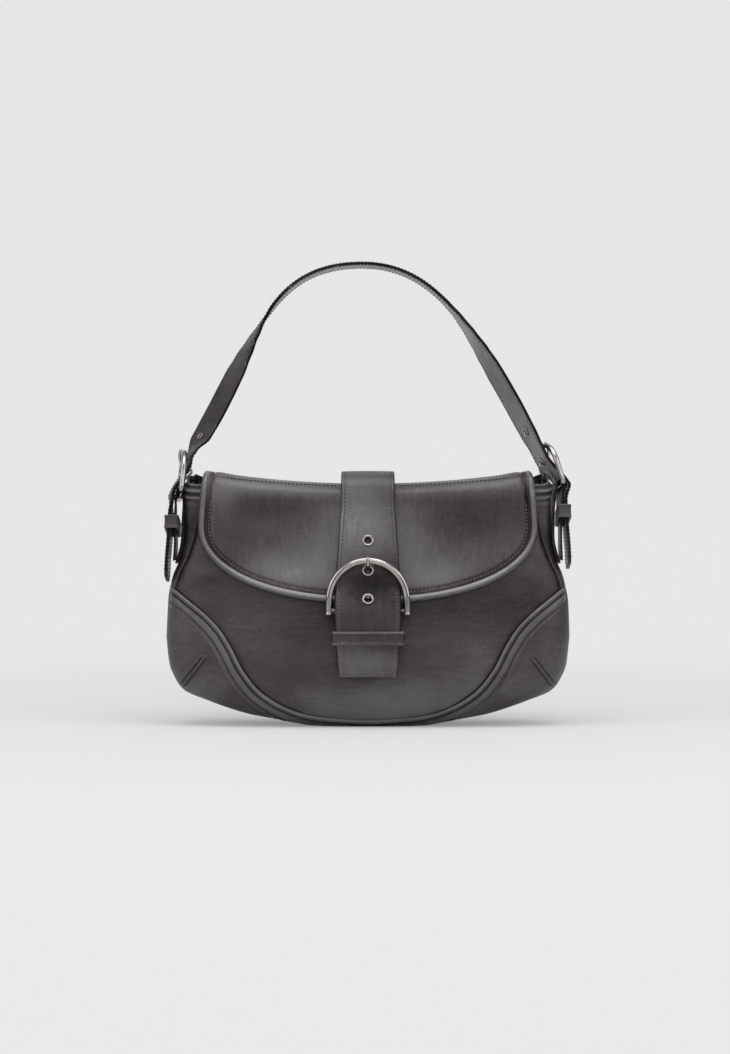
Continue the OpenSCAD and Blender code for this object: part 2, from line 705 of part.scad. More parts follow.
// The magnetic snap: a cup let into the front panel, and a stud let into the flap's lining
snap_pin_r = 3.6;
snap_plate = 0.7;
module on_body(z, out) {
    lean_in = -atan2(-depth_at(0, z + 3, -1) + depth_at(0, z - 3, -1), 6);
    translate([0, -depth_at(0, z, -1), z]) rotate([90 + lean_in, 0, 0]) translate([0, 0, out])
        children();
}
module snap_socket() {
    color(gunmetal) on_body(snap_z, 0) rotate_extrude() difference() {
        translate([0, -leather]) square([snap_r, leather]);
        translate([-1, 0.4 - leather]) square([snap_pin_r + 1.6, leather]);
    }
}
module snap_stud() {
    color(gunmetal) on_body(snap_z, 0) rotate_extrude() {
        translate([0, flap_gap + touch]) square([snap_r, snap_plate]);
        translate([0, 0.3 + touch - leather + 0.4])
            square([snap_pin_r, leather + flap_gap - 0.3]);
    }
}

// The shoulder strap and its side buckles

// Leans a point back about the swing line, by the share s of the full lean
function leaned(p, s = 1) =
    let (a = -lean * s, y = p[1], z = p[2] - swing_z)
    [p[0], y * cos(a) - z * sin(a), swing_z + y * sin(a) + z * cos(a)];
module leaning() {
    translate([0, 0, swing_z]) rotate([-lean, 0, 0]) translate([0, 0, -swing_z]) children();
}
function side_of(hand) = hand < 0
    ? [left_bar_x, left_bar_z, left_yaw, left_tilt]
    : [right_bar_x, right_bar_z, right_yaw, right_tilt];
// Point of the side buckle's own plane: u above the bar and v outwards, as distance and height
function on_side(hand, u, v) =
    let (s = side_of(hand), t = s[3])
    [s[0] - u * sin(t) + v * cos(t), s[1] + u * cos(t) + v * sin(t)];
// Room left where the strap and the tab turn over the bar
strap_slack = 0.65;
over_bar = side_wire_r + touch + tab_t + touch + handle_t / 2;
in_arch = side_wire_r + ride + handle_t / 2;
tail_z = [99, 108];
// The end of the strap, from its tail up through the buckle, as distance from the middle and height
function strap_end(hand) =
    let (low = hand < 0 ? tail_z[0] : tail_z[1], bar = on_side(hand, 0, over_bar + strap_slack))
    [
        [bar[0] + 2.6, low], [bar[0] + 2.1, mix(low, bar[1], 0.25)],
        [bar[0] + 1.2, mix(low, bar[1], 0.5)], [bar[0] + 0.7, mix(low, bar[1], 0.75)],
        on_side(hand, -3, over_bar + strap_slack), on_side(hand, 1.5, over_bar + strap_slack),
        on_side(hand, 8, 2.4), on_side(hand, 14, -0.7),
        on_side(hand, 19.5, -in_arch), on_side(hand, 24, -in_arch - 0.9),
        on_side(hand, side_h, -in_arch - 2)
    ];
arch_steps = 13;
function leg(hand) =
    let (
        start = on_side(hand, side_h + spare_eyelet, hand < 0 ? -11 : -8),
        slope = hand < 0 ? left_slope : right_slope,
        reach = hand < 0 ? 78 : 72,
        flat_reach = hand < 0 ? 68 : 58,
        x0 = hand * start[0]
    )
    [[x0, start[1]],
     [x0 - hand * reach * cos(slope), start[1] + reach * sin(slope)],
     [-arch_shift + hand * flat_reach, arch_z],
     [-arch_shift, arch_z]];
function leg_points(hand) =
    let (b = leg(hand), start = turned(hand, [hand * b[0][0], b[0][1]]))
    [for (i = [0 : arch_steps - 1])
        let (q = bezier(b[0], b[1], b[2], b[3], i / arch_steps), fade = 1 - ease(i / 5))
        [q[0] + (start[0] - b[0][0]) * fade, start[1] * fade, q[1]]];
// A side buckle's turn fades out within a short stretch below its bar
function side_turn(hand, z) =
    let (s = side_of(hand)) s[2] * ease((z - s[1] + 13) / 11);
// Turns a point, given as distance from the middle and height, with its side buckle
function turned(hand, q) =
    let (out = q[0] - side_of(hand)[0], a = side_turn(hand, q[1]))
    [hand * (q[0] - out * (1 - cos(a))), hand * out * sin(a), q[1]];
function end_points(hand) = [for (q = strap_end(hand)) turned(hand, q)];
function reversed(v) = [for (i = [len(v) - 1 : -1 : 0]) v[i]];
handle_path = concat(end_points(-1), leg_points(-1), [[-arch_shift, 0, arch_z]],
    reversed(leg_points(1)), reversed(end_points(1)));
// The twist grows from each buckle to its leg and dies out over the top
function twist_at(q) =
    let (
        hand = q[0] < -arch_shift ? -1 : 1,
        leg_twist = hand < 0 ? left_twist : right_twist,
        low = side_of(hand)[1] + 24,
        up = ease((q[2] - low) / 34),
        over = 1 - ease((q[2] - mix(low, arch_z, 0.38)) / (0.45 * (arch_z - low)))
    )
    -hand * mix(side_turn(hand, q[2]), leg_twist, up) * over;
leaned_path = [for (q = handle_path) leaned(q)];
function handle_across(i) =
    let (
        t = along(leaned_path, i),
        flat = unit([0, 1, 0] - t[1] * t),
        a = twist_at(handle_path[i])
    )
    cos(a) * flat - sin(a) * cross(flat, t);
handle_widths = [for (i = [0 : len(handle_path) - 1])
    handle_w / 2 - (i == 0 || i == len(handle_path) - 1 ? 3 : 0)];
side_eyelet_r = 3.3;
side_hole_r = 1.9;
module shoulder_strap() {
    n = len(leaned_path);
    color(strap_charcoal) difference() {
        ribbon(leaned_path, [for (i = [0 : n - 1]) handle_across(i)], handle_widths, handle_t);
        at_strap_holes() cylinder(r = side_hole_r + eyelet_wall + touch, h = 12, center = true);
    }
}
// Stations of the holes: the one that the prong uses, and the spare one where each leg starts
prong_station = 8;
spare_station = 11;
strap_hole_index = [prong_station, spare_station, len(handle_path) - 1 - spare_station,
    len(handle_path) - 1 - prong_station];
module at_strap_holes() {
    for (i = strap_hole_index) {
        a = unit(handle_across(i));
        t = along(leaned_path, i);
        n = unit(cross(t, a));
        p = leaned_path[i];
        multmatrix([[a[0], t[0], -n[0], p[0]], [a[1], t[1], -n[1], p[1]], [a[2], t[2], -n[2], p[2]],
            [0, 0, 0, 1]]) children();
    }
}
module strap_eyelets() {
    color(gunmetal) at_strap_holes() translate([0, 0, -handle_t / 2])
        eyelet(handle_t, side_eyelet_r, side_hole_r);
}

// Places its children in a side buckle's plane, with Y up from the bar and Z outwards
module on_side_buckle(hand) {
    s = side_of(hand);
    leaning() translate([hand * s[0], 0, s[1]]) rotate([0, 0, s[2]])
        rotate([0, -hand * s[3], 0]) rotate([90, 0, hand > 0 ? 90 : -90]) children();
}
module side_frame(hand) {
    arm = side_h - side_r;
    color(gunmetal) on_side_buckle(hand) {
        translate([0, arm, 0]) rotate_extrude(angle = 180) translate([side_r, 0])
            circle(r = side_wire_r, $fn = 24);
        for (s = [-1, 1]) translate([s * side_r, 0, 0]) {
            translate([0, arm, 0]) rotate([90, 0, 0]) cylinder(r = side_wire_r, h = arm);
            sphere(r = side_wire_r);
        }
        translate([-side_r, 0, 0]) rotate([0, 90, 0]) cylinder(r = side_wire_r, h = 2 * side_r);
    }
}
module side_frame_left() side_frame(-1);
module side_frame_right() side_frame(1);

side_prong_r = 0.9;
module side_prong(hand) {
    rest = side_wire_r + side_prong_r + touch;
    p = [[0, 2.4, 0.2], [0, 7, 0], [0, 12, -2.6], [0, 15.6, -5.8], [0, 17.7, -6.4],
        [0, 19.1, -5.2], [0, 20, -2.8], [0, 20.8, -0.7], [0, 22.2, 1.1],
        [0, 25.5, rest - 0.3], [0, side_h, rest], [0, side_h + 2.8, rest - 0.7]];
    color(gunmetal) on_side_buckle(hand) {
        tube(p, [for (q = p) [1, 0, 0]], side_prong_r, 10);
        translate([-side_prong_r, 0, 0]) rotate([0, 90, 0]) difference() {
            cylinder(r = side_wire_r + 1, h = 2 * side_prong_r);
            translate([0, 0, -1]) cylinder(r = side_wire_r + 0.08, h = 2 * side_prong_r + 2);
        }
    }
}
module side_prong_left() side_prong(-1);
module side_prong_right() side_prong(1);

// A side tab is folded round the bar, and its two ends are sewn to the gusset
function tab_path(hand) =
    let (
        s = side_of(hand),
        r = side_wire_r + touch + tab_t / 2,
        base = half_width(tab_low_z) + 2 * touch + tab_t / 2,
        span_z = s[1] - 8 - tab_low_z
    )
    concat(
        [[base, tab_low_z],
         [max(half_width(tab_low_z + 0.3 * span_z) + 1.4, s[0] - r - 0.2), tab_low_z + 0.3 * span_z],
         [s[0] - r - 0.1, tab_low_z + 0.65 * span_z], [s[0] - r, s[1] - 8]],
        [for (a = [180 : -30 : 0]) [s[0] + r * cos(a), s[1] + r * sin(a)]],
        [[s[0] + r, s[1] - 8], [s[0] + r - 0.3, tab_low_z + 0.65 * span_z],
         [s[0] + r - 0.5, tab_low_z + 0.3 * span_z], [base + tab_t + touch, tab_low_z + 2]]);
module side_tab(hand) {
    s = side_of(hand);
    q = tab_path(hand);
    share = [for (k = q) ease((k[1] - tab_low_z) / (s[1] - 10 - tab_low_z))];
    p = [for (i = [0 : len(q) - 1]) leaned(turned(hand, q[i]), share[i])];
    w = [for (i = [0 : len(q) - 1])
        let (a = side_turn(hand, q[i][1]))
        leaned([-sin(a), cos(a), swing_z], share[i]) - [0, 0, swing_z]];
    color(strap_charcoal) difference() {
        ribbon(p, w, [for (k = q) tab_w / 2], tab_t);
        on_side_buckle(hand) translate([-side_prong_r - 0.6, -5, -8])
            cube([2 * side_prong_r + 1.2, 11, 16]);
    }
}
module side_tab_left() side_tab(-1);
module side_tab_right() side_tab(1);

side_keeper_w = 9.5;
module side_keeper(hand) {
    e = strap_end(hand);
    mid = (e[2] + e[3]) / 2;
    inner = side_of(hand)[0] + side_wire_r + touch - 0.9;
    outer = mid[0] + handle_t / 2 + 0.6;
    color(strap_charcoal) leaning() translate([hand * (inner + outer) / 2, 0, mid[1]])
        translate([0, 0, -side_keeper_w / 2]) linear_extrude(side_keeper_w)
            keeper_band_shape(outer - inner, handle_w + 0.8, keeper_t);
}
module side_keeper_left() side_keeper(-1);
module side_keeper_right() side_keeper(1);

front_panel();
back_panel();
base_band();
gusset_left();
gusset_right();
lining();
flap_anchor();
strap_anchor();
snap_socket();
side_tab_left();
side_tab_right();
flap_panel();
flap_lining();
flap_piping();
centre_strap();
centre_eyelets();
buckle_frame();
buckle_chape();
strap_keeper();
snap_stud();
buckle_prong();
shoulder_strap();
strap_eyelets();
side_frame_left();
side_frame_right();
side_prong_left();
side_prong_right();
side_keeper_left();
side_keeper_right();
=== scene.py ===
# Baguette shoulder bag: the looks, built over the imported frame. Shapes are worked out in millimetres.
import bpy
import bmesh
import math
from functools import lru_cache
from mathutils import Matrix, Vector, kdtree, noise


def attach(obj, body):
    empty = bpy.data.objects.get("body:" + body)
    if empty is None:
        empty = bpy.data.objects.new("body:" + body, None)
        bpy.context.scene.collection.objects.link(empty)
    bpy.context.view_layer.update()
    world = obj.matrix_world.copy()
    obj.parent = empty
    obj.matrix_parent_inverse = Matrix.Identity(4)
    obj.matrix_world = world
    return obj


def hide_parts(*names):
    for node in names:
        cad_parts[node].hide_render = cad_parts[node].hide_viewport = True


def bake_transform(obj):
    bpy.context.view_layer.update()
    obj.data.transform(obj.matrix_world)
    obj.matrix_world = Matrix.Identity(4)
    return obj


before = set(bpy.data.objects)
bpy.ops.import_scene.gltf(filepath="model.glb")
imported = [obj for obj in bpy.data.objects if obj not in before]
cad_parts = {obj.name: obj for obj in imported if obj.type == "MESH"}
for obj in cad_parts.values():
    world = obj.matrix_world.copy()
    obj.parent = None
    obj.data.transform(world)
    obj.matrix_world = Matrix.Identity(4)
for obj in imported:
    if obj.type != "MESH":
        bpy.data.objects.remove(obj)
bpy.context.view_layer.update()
mm = 0.001
print("frame loaded:", len(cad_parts), "nodes")


# Smooth curves and small sums

def mix(a, b, t):
    return a + (b - a) * t


def ease(t):
    s = max(0.0, min(1.0, t))
    return s * s * (3 - 2 * s)


def hump(x, centre, width):
    return math.exp(-((x - centre) / width) ** 2)


def curve(points, x):  # passes through its points without overshooting
    i = 0
    while i < len(points) - 2 and x > points[i + 1][0]:
        i += 1

    def steep(k):
        return (points[k + 1][1] - points[k][1]) / (points[k + 1][0] - points[k][0])

    def slope(k):
        if k == 0:
            return steep(0)
        if k == len(points) - 1:
            return steep(k - 1)
        a, b = steep(k - 1), steep(k)
        return 0.0 if a * b <= 0 else 2 * a * b / (a + b)

    h = points[i + 1][0] - points[i][0]
    t = (x - points[i][0]) / h
    return ((2 * t ** 3 - 3 * t * t + 1) * points[i][1] + (t ** 3 - 2 * t * t + t) * h * slope(i)
            + (3 * t * t - 2 * t ** 3) * points[i + 1][1] + (t ** 3 - t * t) * h * slope(i + 1))


def spread(u):  # u from 0 to 1 gives -1 to 1, closer together at the ends
    w = 2 * u - 1
    return 0.25 * w + 0.75 * math.sin(math.pi / 2 * w)


# The body's form, the same as the frame's

body = dict(bellyHalf=138, bellyZ=60, footHalf=38, mouthHalf=124, top=172, depth=36, deepZ=36,
            footDepth=16, mouthDepth=18, fullness=1.3, frontRound=2.5, backRound=4, footCut=0.5,
            frontRim=156, backRim=159, rimRise=8, gussetHalf=10, cornerZ=93, leather=1.6)
lowerSwell = [(0, 0), (0.07, 0.24), (0.14, 0.45), (0.275, 0.7), (0.41, 0.885), (0.55, 0.945),
              (0.7, 0.98), (1, 1)]
upperSwell = [(0, 1), (0.2, 0.95), (0.3, 0.86), (0.38, 0.71), (0.5, 0.3), (0.62, 0.08), (0.8, 0), (1, 0)]
seamLine = [(0.04, 0), (0.068, 0.25), (0.113, 0.38), (0.194, 0.493), (0.3, 0.572), (0.435, 0.632),
            (0.56, 0.672), (0.69, 0.725), (0.806, 0.8), (0.92, 0.9), (1, 0.975)]
edgeLine = [(0.04, 0), (0.068, 0.014), (0.113, 0.04), (0.194, 0.1), (0.3, 0.18), (0.435, 0.3),
            (0.56, 0.43), (0.69, 0.56), (0.806, 0.71), (0.92, 0.87), (1, 1)]


@lru_cache(maxsize=None)
def halfWidth(z):
    cut = body["footCut"]
    if z < body["bellyZ"]:
        return mix(body["footHalf"], body["bellyHalf"],
                   curve(lowerSwell, max(0, (z + cut) / (body["bellyZ"] + cut))))
    return mix(body["mouthHalf"], body["bellyHalf"],
               curve(upperSwell, min(1, (z - body["bellyZ"]) / (body["top"] - body["bellyZ"]))))


@lru_cache(maxsize=None)
def halfDepth(z):
    cut = body["footCut"]
    if z < body["deepZ"]:
        t = 1 - max(0, z + cut) / (body["deepZ"] + cut)
        return mix(body["footDepth"], body["depth"], math.sqrt(1 - t * t))
    t = min(1, (z - body["deepZ"]) / (body["top"] - body["deepZ"])) ** body["fullness"]
    return mix(body["mouthDepth"], body["depth"], (1 + math.cos(math.pi * t)) / 2)


def roundness(side):
    return body["frontRound"] if side < 0 else body["backRound"]


def depthAt(x, z, side):
    n = roundness(side)
    return halfDepth(z) * max(1e-6, 1 - (abs(x) / halfWidth(z)) ** n) ** (1 / n)


def widthAt(y, z):
    n = roundness(-1 if y < 0 else 1)
    return halfWidth(z) * max(1e-6, 1 - (abs(y) / halfDepth(z)) ** n) ** (1 / n)


def bodyPoint(x, z, side, lift=0.0):  # side -1 is the front, 1 the back
    e = 0.1
    dx = (depthAt(x + e, z, side) - depthAt(x - e, z, side)) / (2 * e)
    dz = (depthAt(x, z + e, side) - depthAt(x, z - e, side)) / (2 * e)
    return Vector((x, side * depthAt(x, z, side), z)) + lift * Vector((-dx, side, -dz)).normalized()


def sidePoint(y, z, hand, lift=0.0):
    e = 0.1
    dy = (widthAt(y + e, z) - widthAt(y - e, z)) / (2 * e)
    dz = (widthAt(y, z + e) - widthAt(y, z - e)) / (2 * e)
    return Vector((hand * widthAt(y, z), y, z)) + lift * Vector((hand, -dy, -dz)).normalized()


@lru_cache(maxsize=None)
def gussetShare(z, side):
    n = roundness(side)
    return (1 - (body["gussetHalf"] / halfDepth(z)) ** n) ** (1 / n)


@lru_cache(maxsize=None)
def seamX(z, side):
    s = curve(seamLine, z / body["cornerZ"])
    meet = gussetShare(body["cornerZ"], side) - seamLine[-1][1]
    return (s + meet * ease((s - 0.7) * 3.6)) * mix(body["bellyHalf"], halfWidth(z), z / body["cornerZ"])


def panelHalf(z, side):
    return seamX(z, side) if z < body["cornerZ"] else halfWidth(z) * gussetShare(z, side)


# Mesh making: a grid is created flat and each vertex is moved to its place

def finishMesh(name, bm, material, bodyName, replaces=(), smooth=True, ride=True):
    for face in bm.faces:
        face.smooth = smooth
    mesh = bpy.data.meshes.new(name)
    bm.to_mesh(mesh)
    bm.free()
    piece = bpy.data.objects.new(name, mesh)
    bpy.context.scene.collection.objects.link(piece)
    for m in (material if isinstance(material, (list, tuple)) else [material]):
        mesh.materials.append(m)
    if ride:
        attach(piece, bodyName)
    if replaces:
        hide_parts(*replaces)
    return piece


def toneBy(piece, rule):  # paler, 1, or darker, -1: the leather's own rubbed and burnished patches together with painted highlights and painted shade
    layer = piece.data.attributes.get("tone") or piece.data.attributes.new("tone", "FLOAT", "POINT")
    for v, spotTone in zip(piece.data.vertices, layer.data):
        spotTone.value += rule(v.co / mm)
    return piece


def spot(p, x, z, wide, high):
    return math.exp(-((p.x - x) / wide) ** 2 - ((p.z - z) / high) ** 2)


def gridMesh(columns, rows, place, closed=False):  # place takes u and v from 0 to 1
    bm = bmesh.new()
    bm.loops.layers.uv.new("UVMap")
    toneLayer = bm.verts.layers.float.new("tone")
    bmesh.ops.create_grid(bm, x_segments=columns, y_segments=rows, size=0.5, calc_uvs=True)
    for v in bm.verts:
        made = place(v.co.x + 0.5, v.co.y + 0.5)
        if isinstance(made, tuple):
            made, v[toneLayer] = made
        v.co = made * mm
    if closed:
        bmesh.ops.remove_doubles(bm, verts=bm.verts[:], dist=1e-6)
    return bm


def turnIn(bm, amount):  # gives the border of a sheet its thickness
    bm.normal_update()
    edges = [e for e in bm.edges if e.is_boundary]
    normals = {v: v.normal.copy() for e in edges for v in e.verts}
    made = bmesh.ops.extrude_edge_only(bm, edges=edges)["geom"]
    fresh = [g for g in made if isinstance(g, bmesh.types.BMVert)]
    tree = kdtree.KDTree(len(normals))
    owners = list(normals)
    for i, v in enumerate(owners):
        tree.insert(v.co, i)
    tree.balance()
    for v in fresh:
        _, i, _ = tree.find(v.co)
        v.co -= normals[owners[i]] * amount * mm


def frames(points, ups):  # tangent, across and up at each point
    out = []
    for i, p in enumerate(points):
        t = (points[min(i + 1, len(points) - 1)] - points[max(i - 1, 0)]).normalized()
        a = t.cross(ups[i]).normalized()
        out.append((p, t, a, a.cross(t).normalized()))
    return out


def smoothPath(points, count):  # Catmull-Rom through the points, evenly spaced
    pts = [2 * points[0] - points[1]] + list(points) + [2 * points[-1] - points[-2]]
    dense = []
    for i in range(1, len(pts) - 2):
        for k in range(12):
            t = k / 12
            p0, p1, p2, p3 = pts[i - 1], pts[i], pts[i + 1], pts[i + 2]
            dense.append(0.5 * (2 * p1 + (p2 - p0) * t + (2 * p0 - 5 * p1 + 4 * p2 - p3) * t * t
                                + (3 * p1 - p0 - 3 * p2 + p3) * t ** 3))
    dense.append(points[-1])
    lengths = [0.0]
    for a, b in zip(dense, dense[1:]):
        lengths.append(lengths[-1] + (b - a).length)
    out, k = [], 0
    for i in range(count + 1):
        want = lengths[-1] * i / count
        while k < len(dense) - 2 and lengths[k + 1] < want:
            k += 1
        gap = lengths[k + 1] - lengths[k]
        out.append(dense[k].lerp(dense[k + 1], (want - lengths[k]) / gap if gap else 0))
    return out


def pathLength(points):
    return sum((b - a).length for a, b in zip(points, points[1:]))


def loftMesh(stations, around, section, capped=True):  # section(u, v) gives across and up at a station, and a tone: the leather's wear together with painted highlights and painted shade
    count = len(stations) - 1

    def place(u, v):
        i = min(count, max(0, round(v * count)))
        p, t, a, n = stations[i]
        x, y, wearAndLight = section(u, i / count)
        return p + a * x + n * y, wearAndLight

    bm = gridMesh(around, count, place, closed=True)
    if capped:
        bmesh.ops.holes_fill(bm, edges=[e for e in bm.edges if e.is_boundary], sides=0)
    bmesh.ops.recalc_face_normals(bm, faces=bm.faces[:])
    return bm


def strapSection(half, thick, crown=0.12, inside=0.0, outside=0.0):
    # a flat strap with rounded, dark painted edges; its outer face is slightly crowned
    def section(u, v):
        h = half(v) if callable(half) else half
        t = thick / 2
        r = min(thick * 0.42, t)
        k, f = divmod(u * 4 % 4, 1)
        across = (2 * f - 1) * (h - r)
        rim = hump(h - r - abs(across), 0.6, 0.6) * 0.6
        if k == 0:
            return across, t + crown * (1 - (2 * f - 1) ** 2), outside + rim
        if k == 2:
            return -across, -t, inside + rim
        side = 1 if k == 1 else -1
        angle = math.pi / 2 - math.pi * f
        return side * (h - r + r * math.cos(angle)), side * t * math.sin(angle), -1.6 * math.cos(angle)
    return section


def stitchMesh(rows, thread):  # rows of (points, ups); each stitch is a small capsule laid along its row
    bm = bmesh.new()
    batch = bmesh.new()
    held = bpy.data.meshes.new("stitchBatch")
    for points, ups in rows:
        total = pathLength(points)
        count = max(1, int(total / thread["pitch"]))
        walked, k = 0.0, 0
        for i in range(count):
            want = (i + 0.5) * total / count
            while k < len(points) - 2 and walked + (points[k + 1] - points[k]).length < want:
                walked += (points[k + 1] - points[k]).length
                k += 1
            step = points[k + 1] - points[k]
            p = points[k] + step * ((want - walked) / max(step.length, 1e-6))
            n = (ups[k] - step * ups[k].dot(step) / max(step.length_squared, 1e-9)).normalized()
            t = (step.normalized() + n.cross(step).normalized() * thread["lean"]).normalized()
            p += n * thread["sink"]
            turn = Matrix((n.cross(t) * thread["r"], n * thread["r"] * 0.85,
                           t * thread["length"] / 2)).transposed()
            turn = Matrix.Translation(p * mm) @ turn.to_4x4() @ Matrix.Scale(mm, 4)
            bmesh.ops.create_uvsphere(batch, u_segments=6, v_segments=4, radius=1, matrix=turn)
            if i % 40 == 39 or i == count - 1:
                batch.to_mesh(held)
                bm.from_mesh(held)
                batch.clear()
    batch.free()
    bpy.data.meshes.remove(held)
    bmesh.ops.recalc_face_normals(bm, faces=bm.faces[:])
    return bm


# Materials

def nodeSet(name):
    m = bpy.data.materials.new(name)
    m.use_nodes = True
    t = m.node_tree
    return m, t, t.nodes, t.links, t.nodes["Principled BSDF"]


def addNode(t, kind, **values):
    n = t.nodes.new(kind)
    for key, value in values.items():
        if key in n.inputs:
            n.inputs[key].default_value = value
        else:
            setattr(n, key, value)
    return n


def leatherMaterial(name, look):
    m, t, nodes, links, shader = nodeSet(name)
    coords = addNode(t, "ShaderNodeTexCoord")

    def noiseAt(stretch, scale, detail, rough):
        turn = addNode(t, "ShaderNodeMapping")
        turn.inputs["Scale"].default_value = stretch
        turn.inputs["Location"].default_value = look["shift"]
        links.new(coords.outputs["Object"], turn.inputs["Vector"])
        made = addNode(t, "ShaderNodeTexNoise", Scale=scale, Detail=detail, Roughness=rough)
        links.new(turn.outputs[0], made.inputs["Vector"])
        return made.outputs["Fac"]

    def sums(operation, a, b, c=None):
        made = addNode(t, "ShaderNodeMath", operation=operation)
        for socket, value in zip(made.inputs, (a, b, c)):
            if value is None:
                continue
            if isinstance(value, (int, float)):
                socket.default_value = value
            else:
                links.new(value, socket)
        return made.outputs[0]

    def between(value, lowIn, highIn, lowOut, highOut):
        made = addNode(t, "ShaderNodeMapRange")
        for key, number in zip(("From Min", "From Max", "To Min", "To Max"), (lowIn, highIn, lowOut, highOut)):
            made.inputs[key].default_value = number
        links.new(value, made.inputs["Value"])
        return made.outputs[0]

    # smoky burnish in wide clouds, with brushed streaks and fine mottling over them
    clouds = noiseAt(look["cloudStretch"], look["cloudScale"], 3.0, 0.5)
    streaks = noiseAt(look["streakStretch"], look["streakScale"], 4.0, 0.65)
    mottle = noiseAt((1, 1, 1), look["mottleScale"], 4.0, 0.6)
    # the tone attribute: the leather's rubbed and burnished patches together with painted highlights and
    # painted shade
    wearAndLight = addNode(t, "ShaderNodeAttribute", attribute_name="tone")
    tone = sums("MULTIPLY_ADD", clouds, look["cloudShare"], 0.5 - look["cloudShare"] / 2)
    tone = sums("MULTIPLY_ADD", streaks, look["streakShare"], tone)
    tone = sums("MULTIPLY_ADD", mottle, look["mottleShare"], tone)
    tone = sums("SUBTRACT", tone, (look["streakShare"] + look["mottleShare"]) / 2)
    tone = sums("MULTIPLY_ADD", wearAndLight.outputs["Fac"], look["toneShare"], tone)
    ramp = addNode(t, "ShaderNodeValToRGB")
    ramp.color_ramp.elements[0].position = 0.2
    ramp.color_ramp.elements[0].color = (*look["dark"], 1)
    ramp.color_ramp.elements[1].position = 0.85
    ramp.color_ramp.elements[1].color = (*look["light"], 1)
    # the lowest stop is near-black painted shade, reached in the painted seam gaps and grooves
    for place, key in ((0.0, "creviceShade"), (0.5, "middle"), (1.0, "pale")):
        stop = ramp.color_ramp.elements.new(place)
        stop.color = (*look[key], 1)
    links.new(tone, ramp.inputs["Fac"])
    # raised edges are rubbed paler
    geometry = addNode(t, "ShaderNodeNewGeometry")
    edge = between(geometry.outputs["Pointiness"], 0.52, 0.6, 0.0, look["rub"])
    edge = sums("MULTIPLY", edge, mottle)
    colour = addNode(t, "ShaderNodeMix", data_type="RGBA")
    colour.inputs[7].default_value = (*look["wearAndLight"], 1)
    links.new(edge, colour.inputs[0])
    links.new(ramp.outputs["Color"], colour.inputs[6])
    # painted shade: concave places are darkened towards the same near-black shade
    creviceShade = addNode(t, "ShaderNodeMix", data_type="RGBA")
    creviceShade.inputs[7].default_value = (*look["creviceShade"], 1)
    links.new(between(geometry.outputs["Pointiness"], 0.49, 0.42, 0.0, 0.85), creviceShade.inputs[0])
    links.new(colour.outputs[2], creviceShade.inputs[6])
    links.new(creviceShade.outputs[2], shader.inputs["Base Color"])
    links.new(between(tone, 0.2, 0.85, look["rough"][0], look["rough"][1]), shader.inputs["Roughness"])
    # grain of small cells and pores, over wide soft creases
    cells = addNode(t, "ShaderNodeTexVoronoi", Scale=look["grainScale"])
    links.new(coords.outputs["Object"], cells.inputs["Vector"])
    pores = noiseAt((1, 1, 1), look["grainScale"] * 1.6, 2.0, 0.6)
    grain = sums("MULTIPLY_ADD", cells.outputs["Distance"], 0.5, pores)
    grain = sums("MULTIPLY_ADD", streaks, 0.8, grain)
    fine = addNode(t, "ShaderNodeBump", Strength=look["grain"], Distance=look["grainDepth"] * mm)
    links.new(grain, fine.inputs["Height"])
    wide = addNode(t, "ShaderNodeBump", Strength=look["crease"], Distance=1.5 * mm)
    links.new(noiseAt(look["cloudStretch"], look["creaseScale"], 2.0, 0.5), wide.inputs["Height"])
    links.new(fine.outputs[0], wide.inputs["Normal"])
    links.new(wide.outputs[0], shader.inputs["Normal"])
    # the shine is turned down where the tone is darkest, in burnished patches and in the painted shade of
    # seams and grooves
    links.new(between(tone, 0.0, 0.55, 0.05, look["specular"]), shader.inputs["Specular IOR Level"])
    links.new(between(tone, 0.1, 0.6, 0.0, look["sheen"]), shader.inputs["Sheen Weight"])
    links.new(between(tone, 0.1, 0.6, 0.0, look["coat"]), shader.inputs["Coat Weight"])
    shader.inputs["Sheen Roughness"].default_value = 0.45
    shader.inputs["Sheen Tint"].default_value = (0.82, 0.82, 1.0, 1)
    shader.inputs["Coat Roughness"].default_value = 0.4
    return m


def metalMaterial(name, look):
    m, t, nodes, links, shader = nodeSet(name)
    coords = addNode(t, "ShaderNodeTexCoord")
    wear = addNode(t, "ShaderNodeTexNoise", Scale=look["wearScale"], Detail=5.0, Roughness=0.6)
    links.new(coords.outputs["Object"], wear.inputs["Vector"])
    ramp = addNode(t, "ShaderNodeValToRGB")
    ramp.color_ramp.elements[0].position = 0.35
    ramp.color_ramp.elements[0].color = (*look["dark"], 1)
    ramp.color_ramp.elements[1].position = 0.65
    ramp.color_ramp.elements[1].color = (*look["light"], 1)
    links.new(wear.outputs["Fac"], ramp.inputs["Fac"])
    links.new(ramp.outputs["Color"], shader.inputs["Base Color"])
    shader.inputs["Metallic"].default_value = 1.0
    rough = addNode(t, "ShaderNodeMapRange")
    rough.inputs["To Min"].default_value = look["rough"][0]
    rough.inputs["To Max"].default_value = look["rough"][1]
    links.new(wear.outputs["Fac"], rough.inputs["Value"])
    links.new(rough.outputs[0], shader.inputs["Roughness"])
    scratch = addNode(t, "ShaderNodeTexNoise", Scale=420.0, Detail=2.0)
    links.new(coords.outputs["Object"], scratch.inputs["Vector"])
    bump = addNode(t, "ShaderNodeBump", Strength=0.03, Distance=0.2 * mm)
    links.new(scratch.outputs["Fac"], bump.inputs["Height"])
    links.new(bump.outputs[0], shader.inputs["Normal"])
    return m


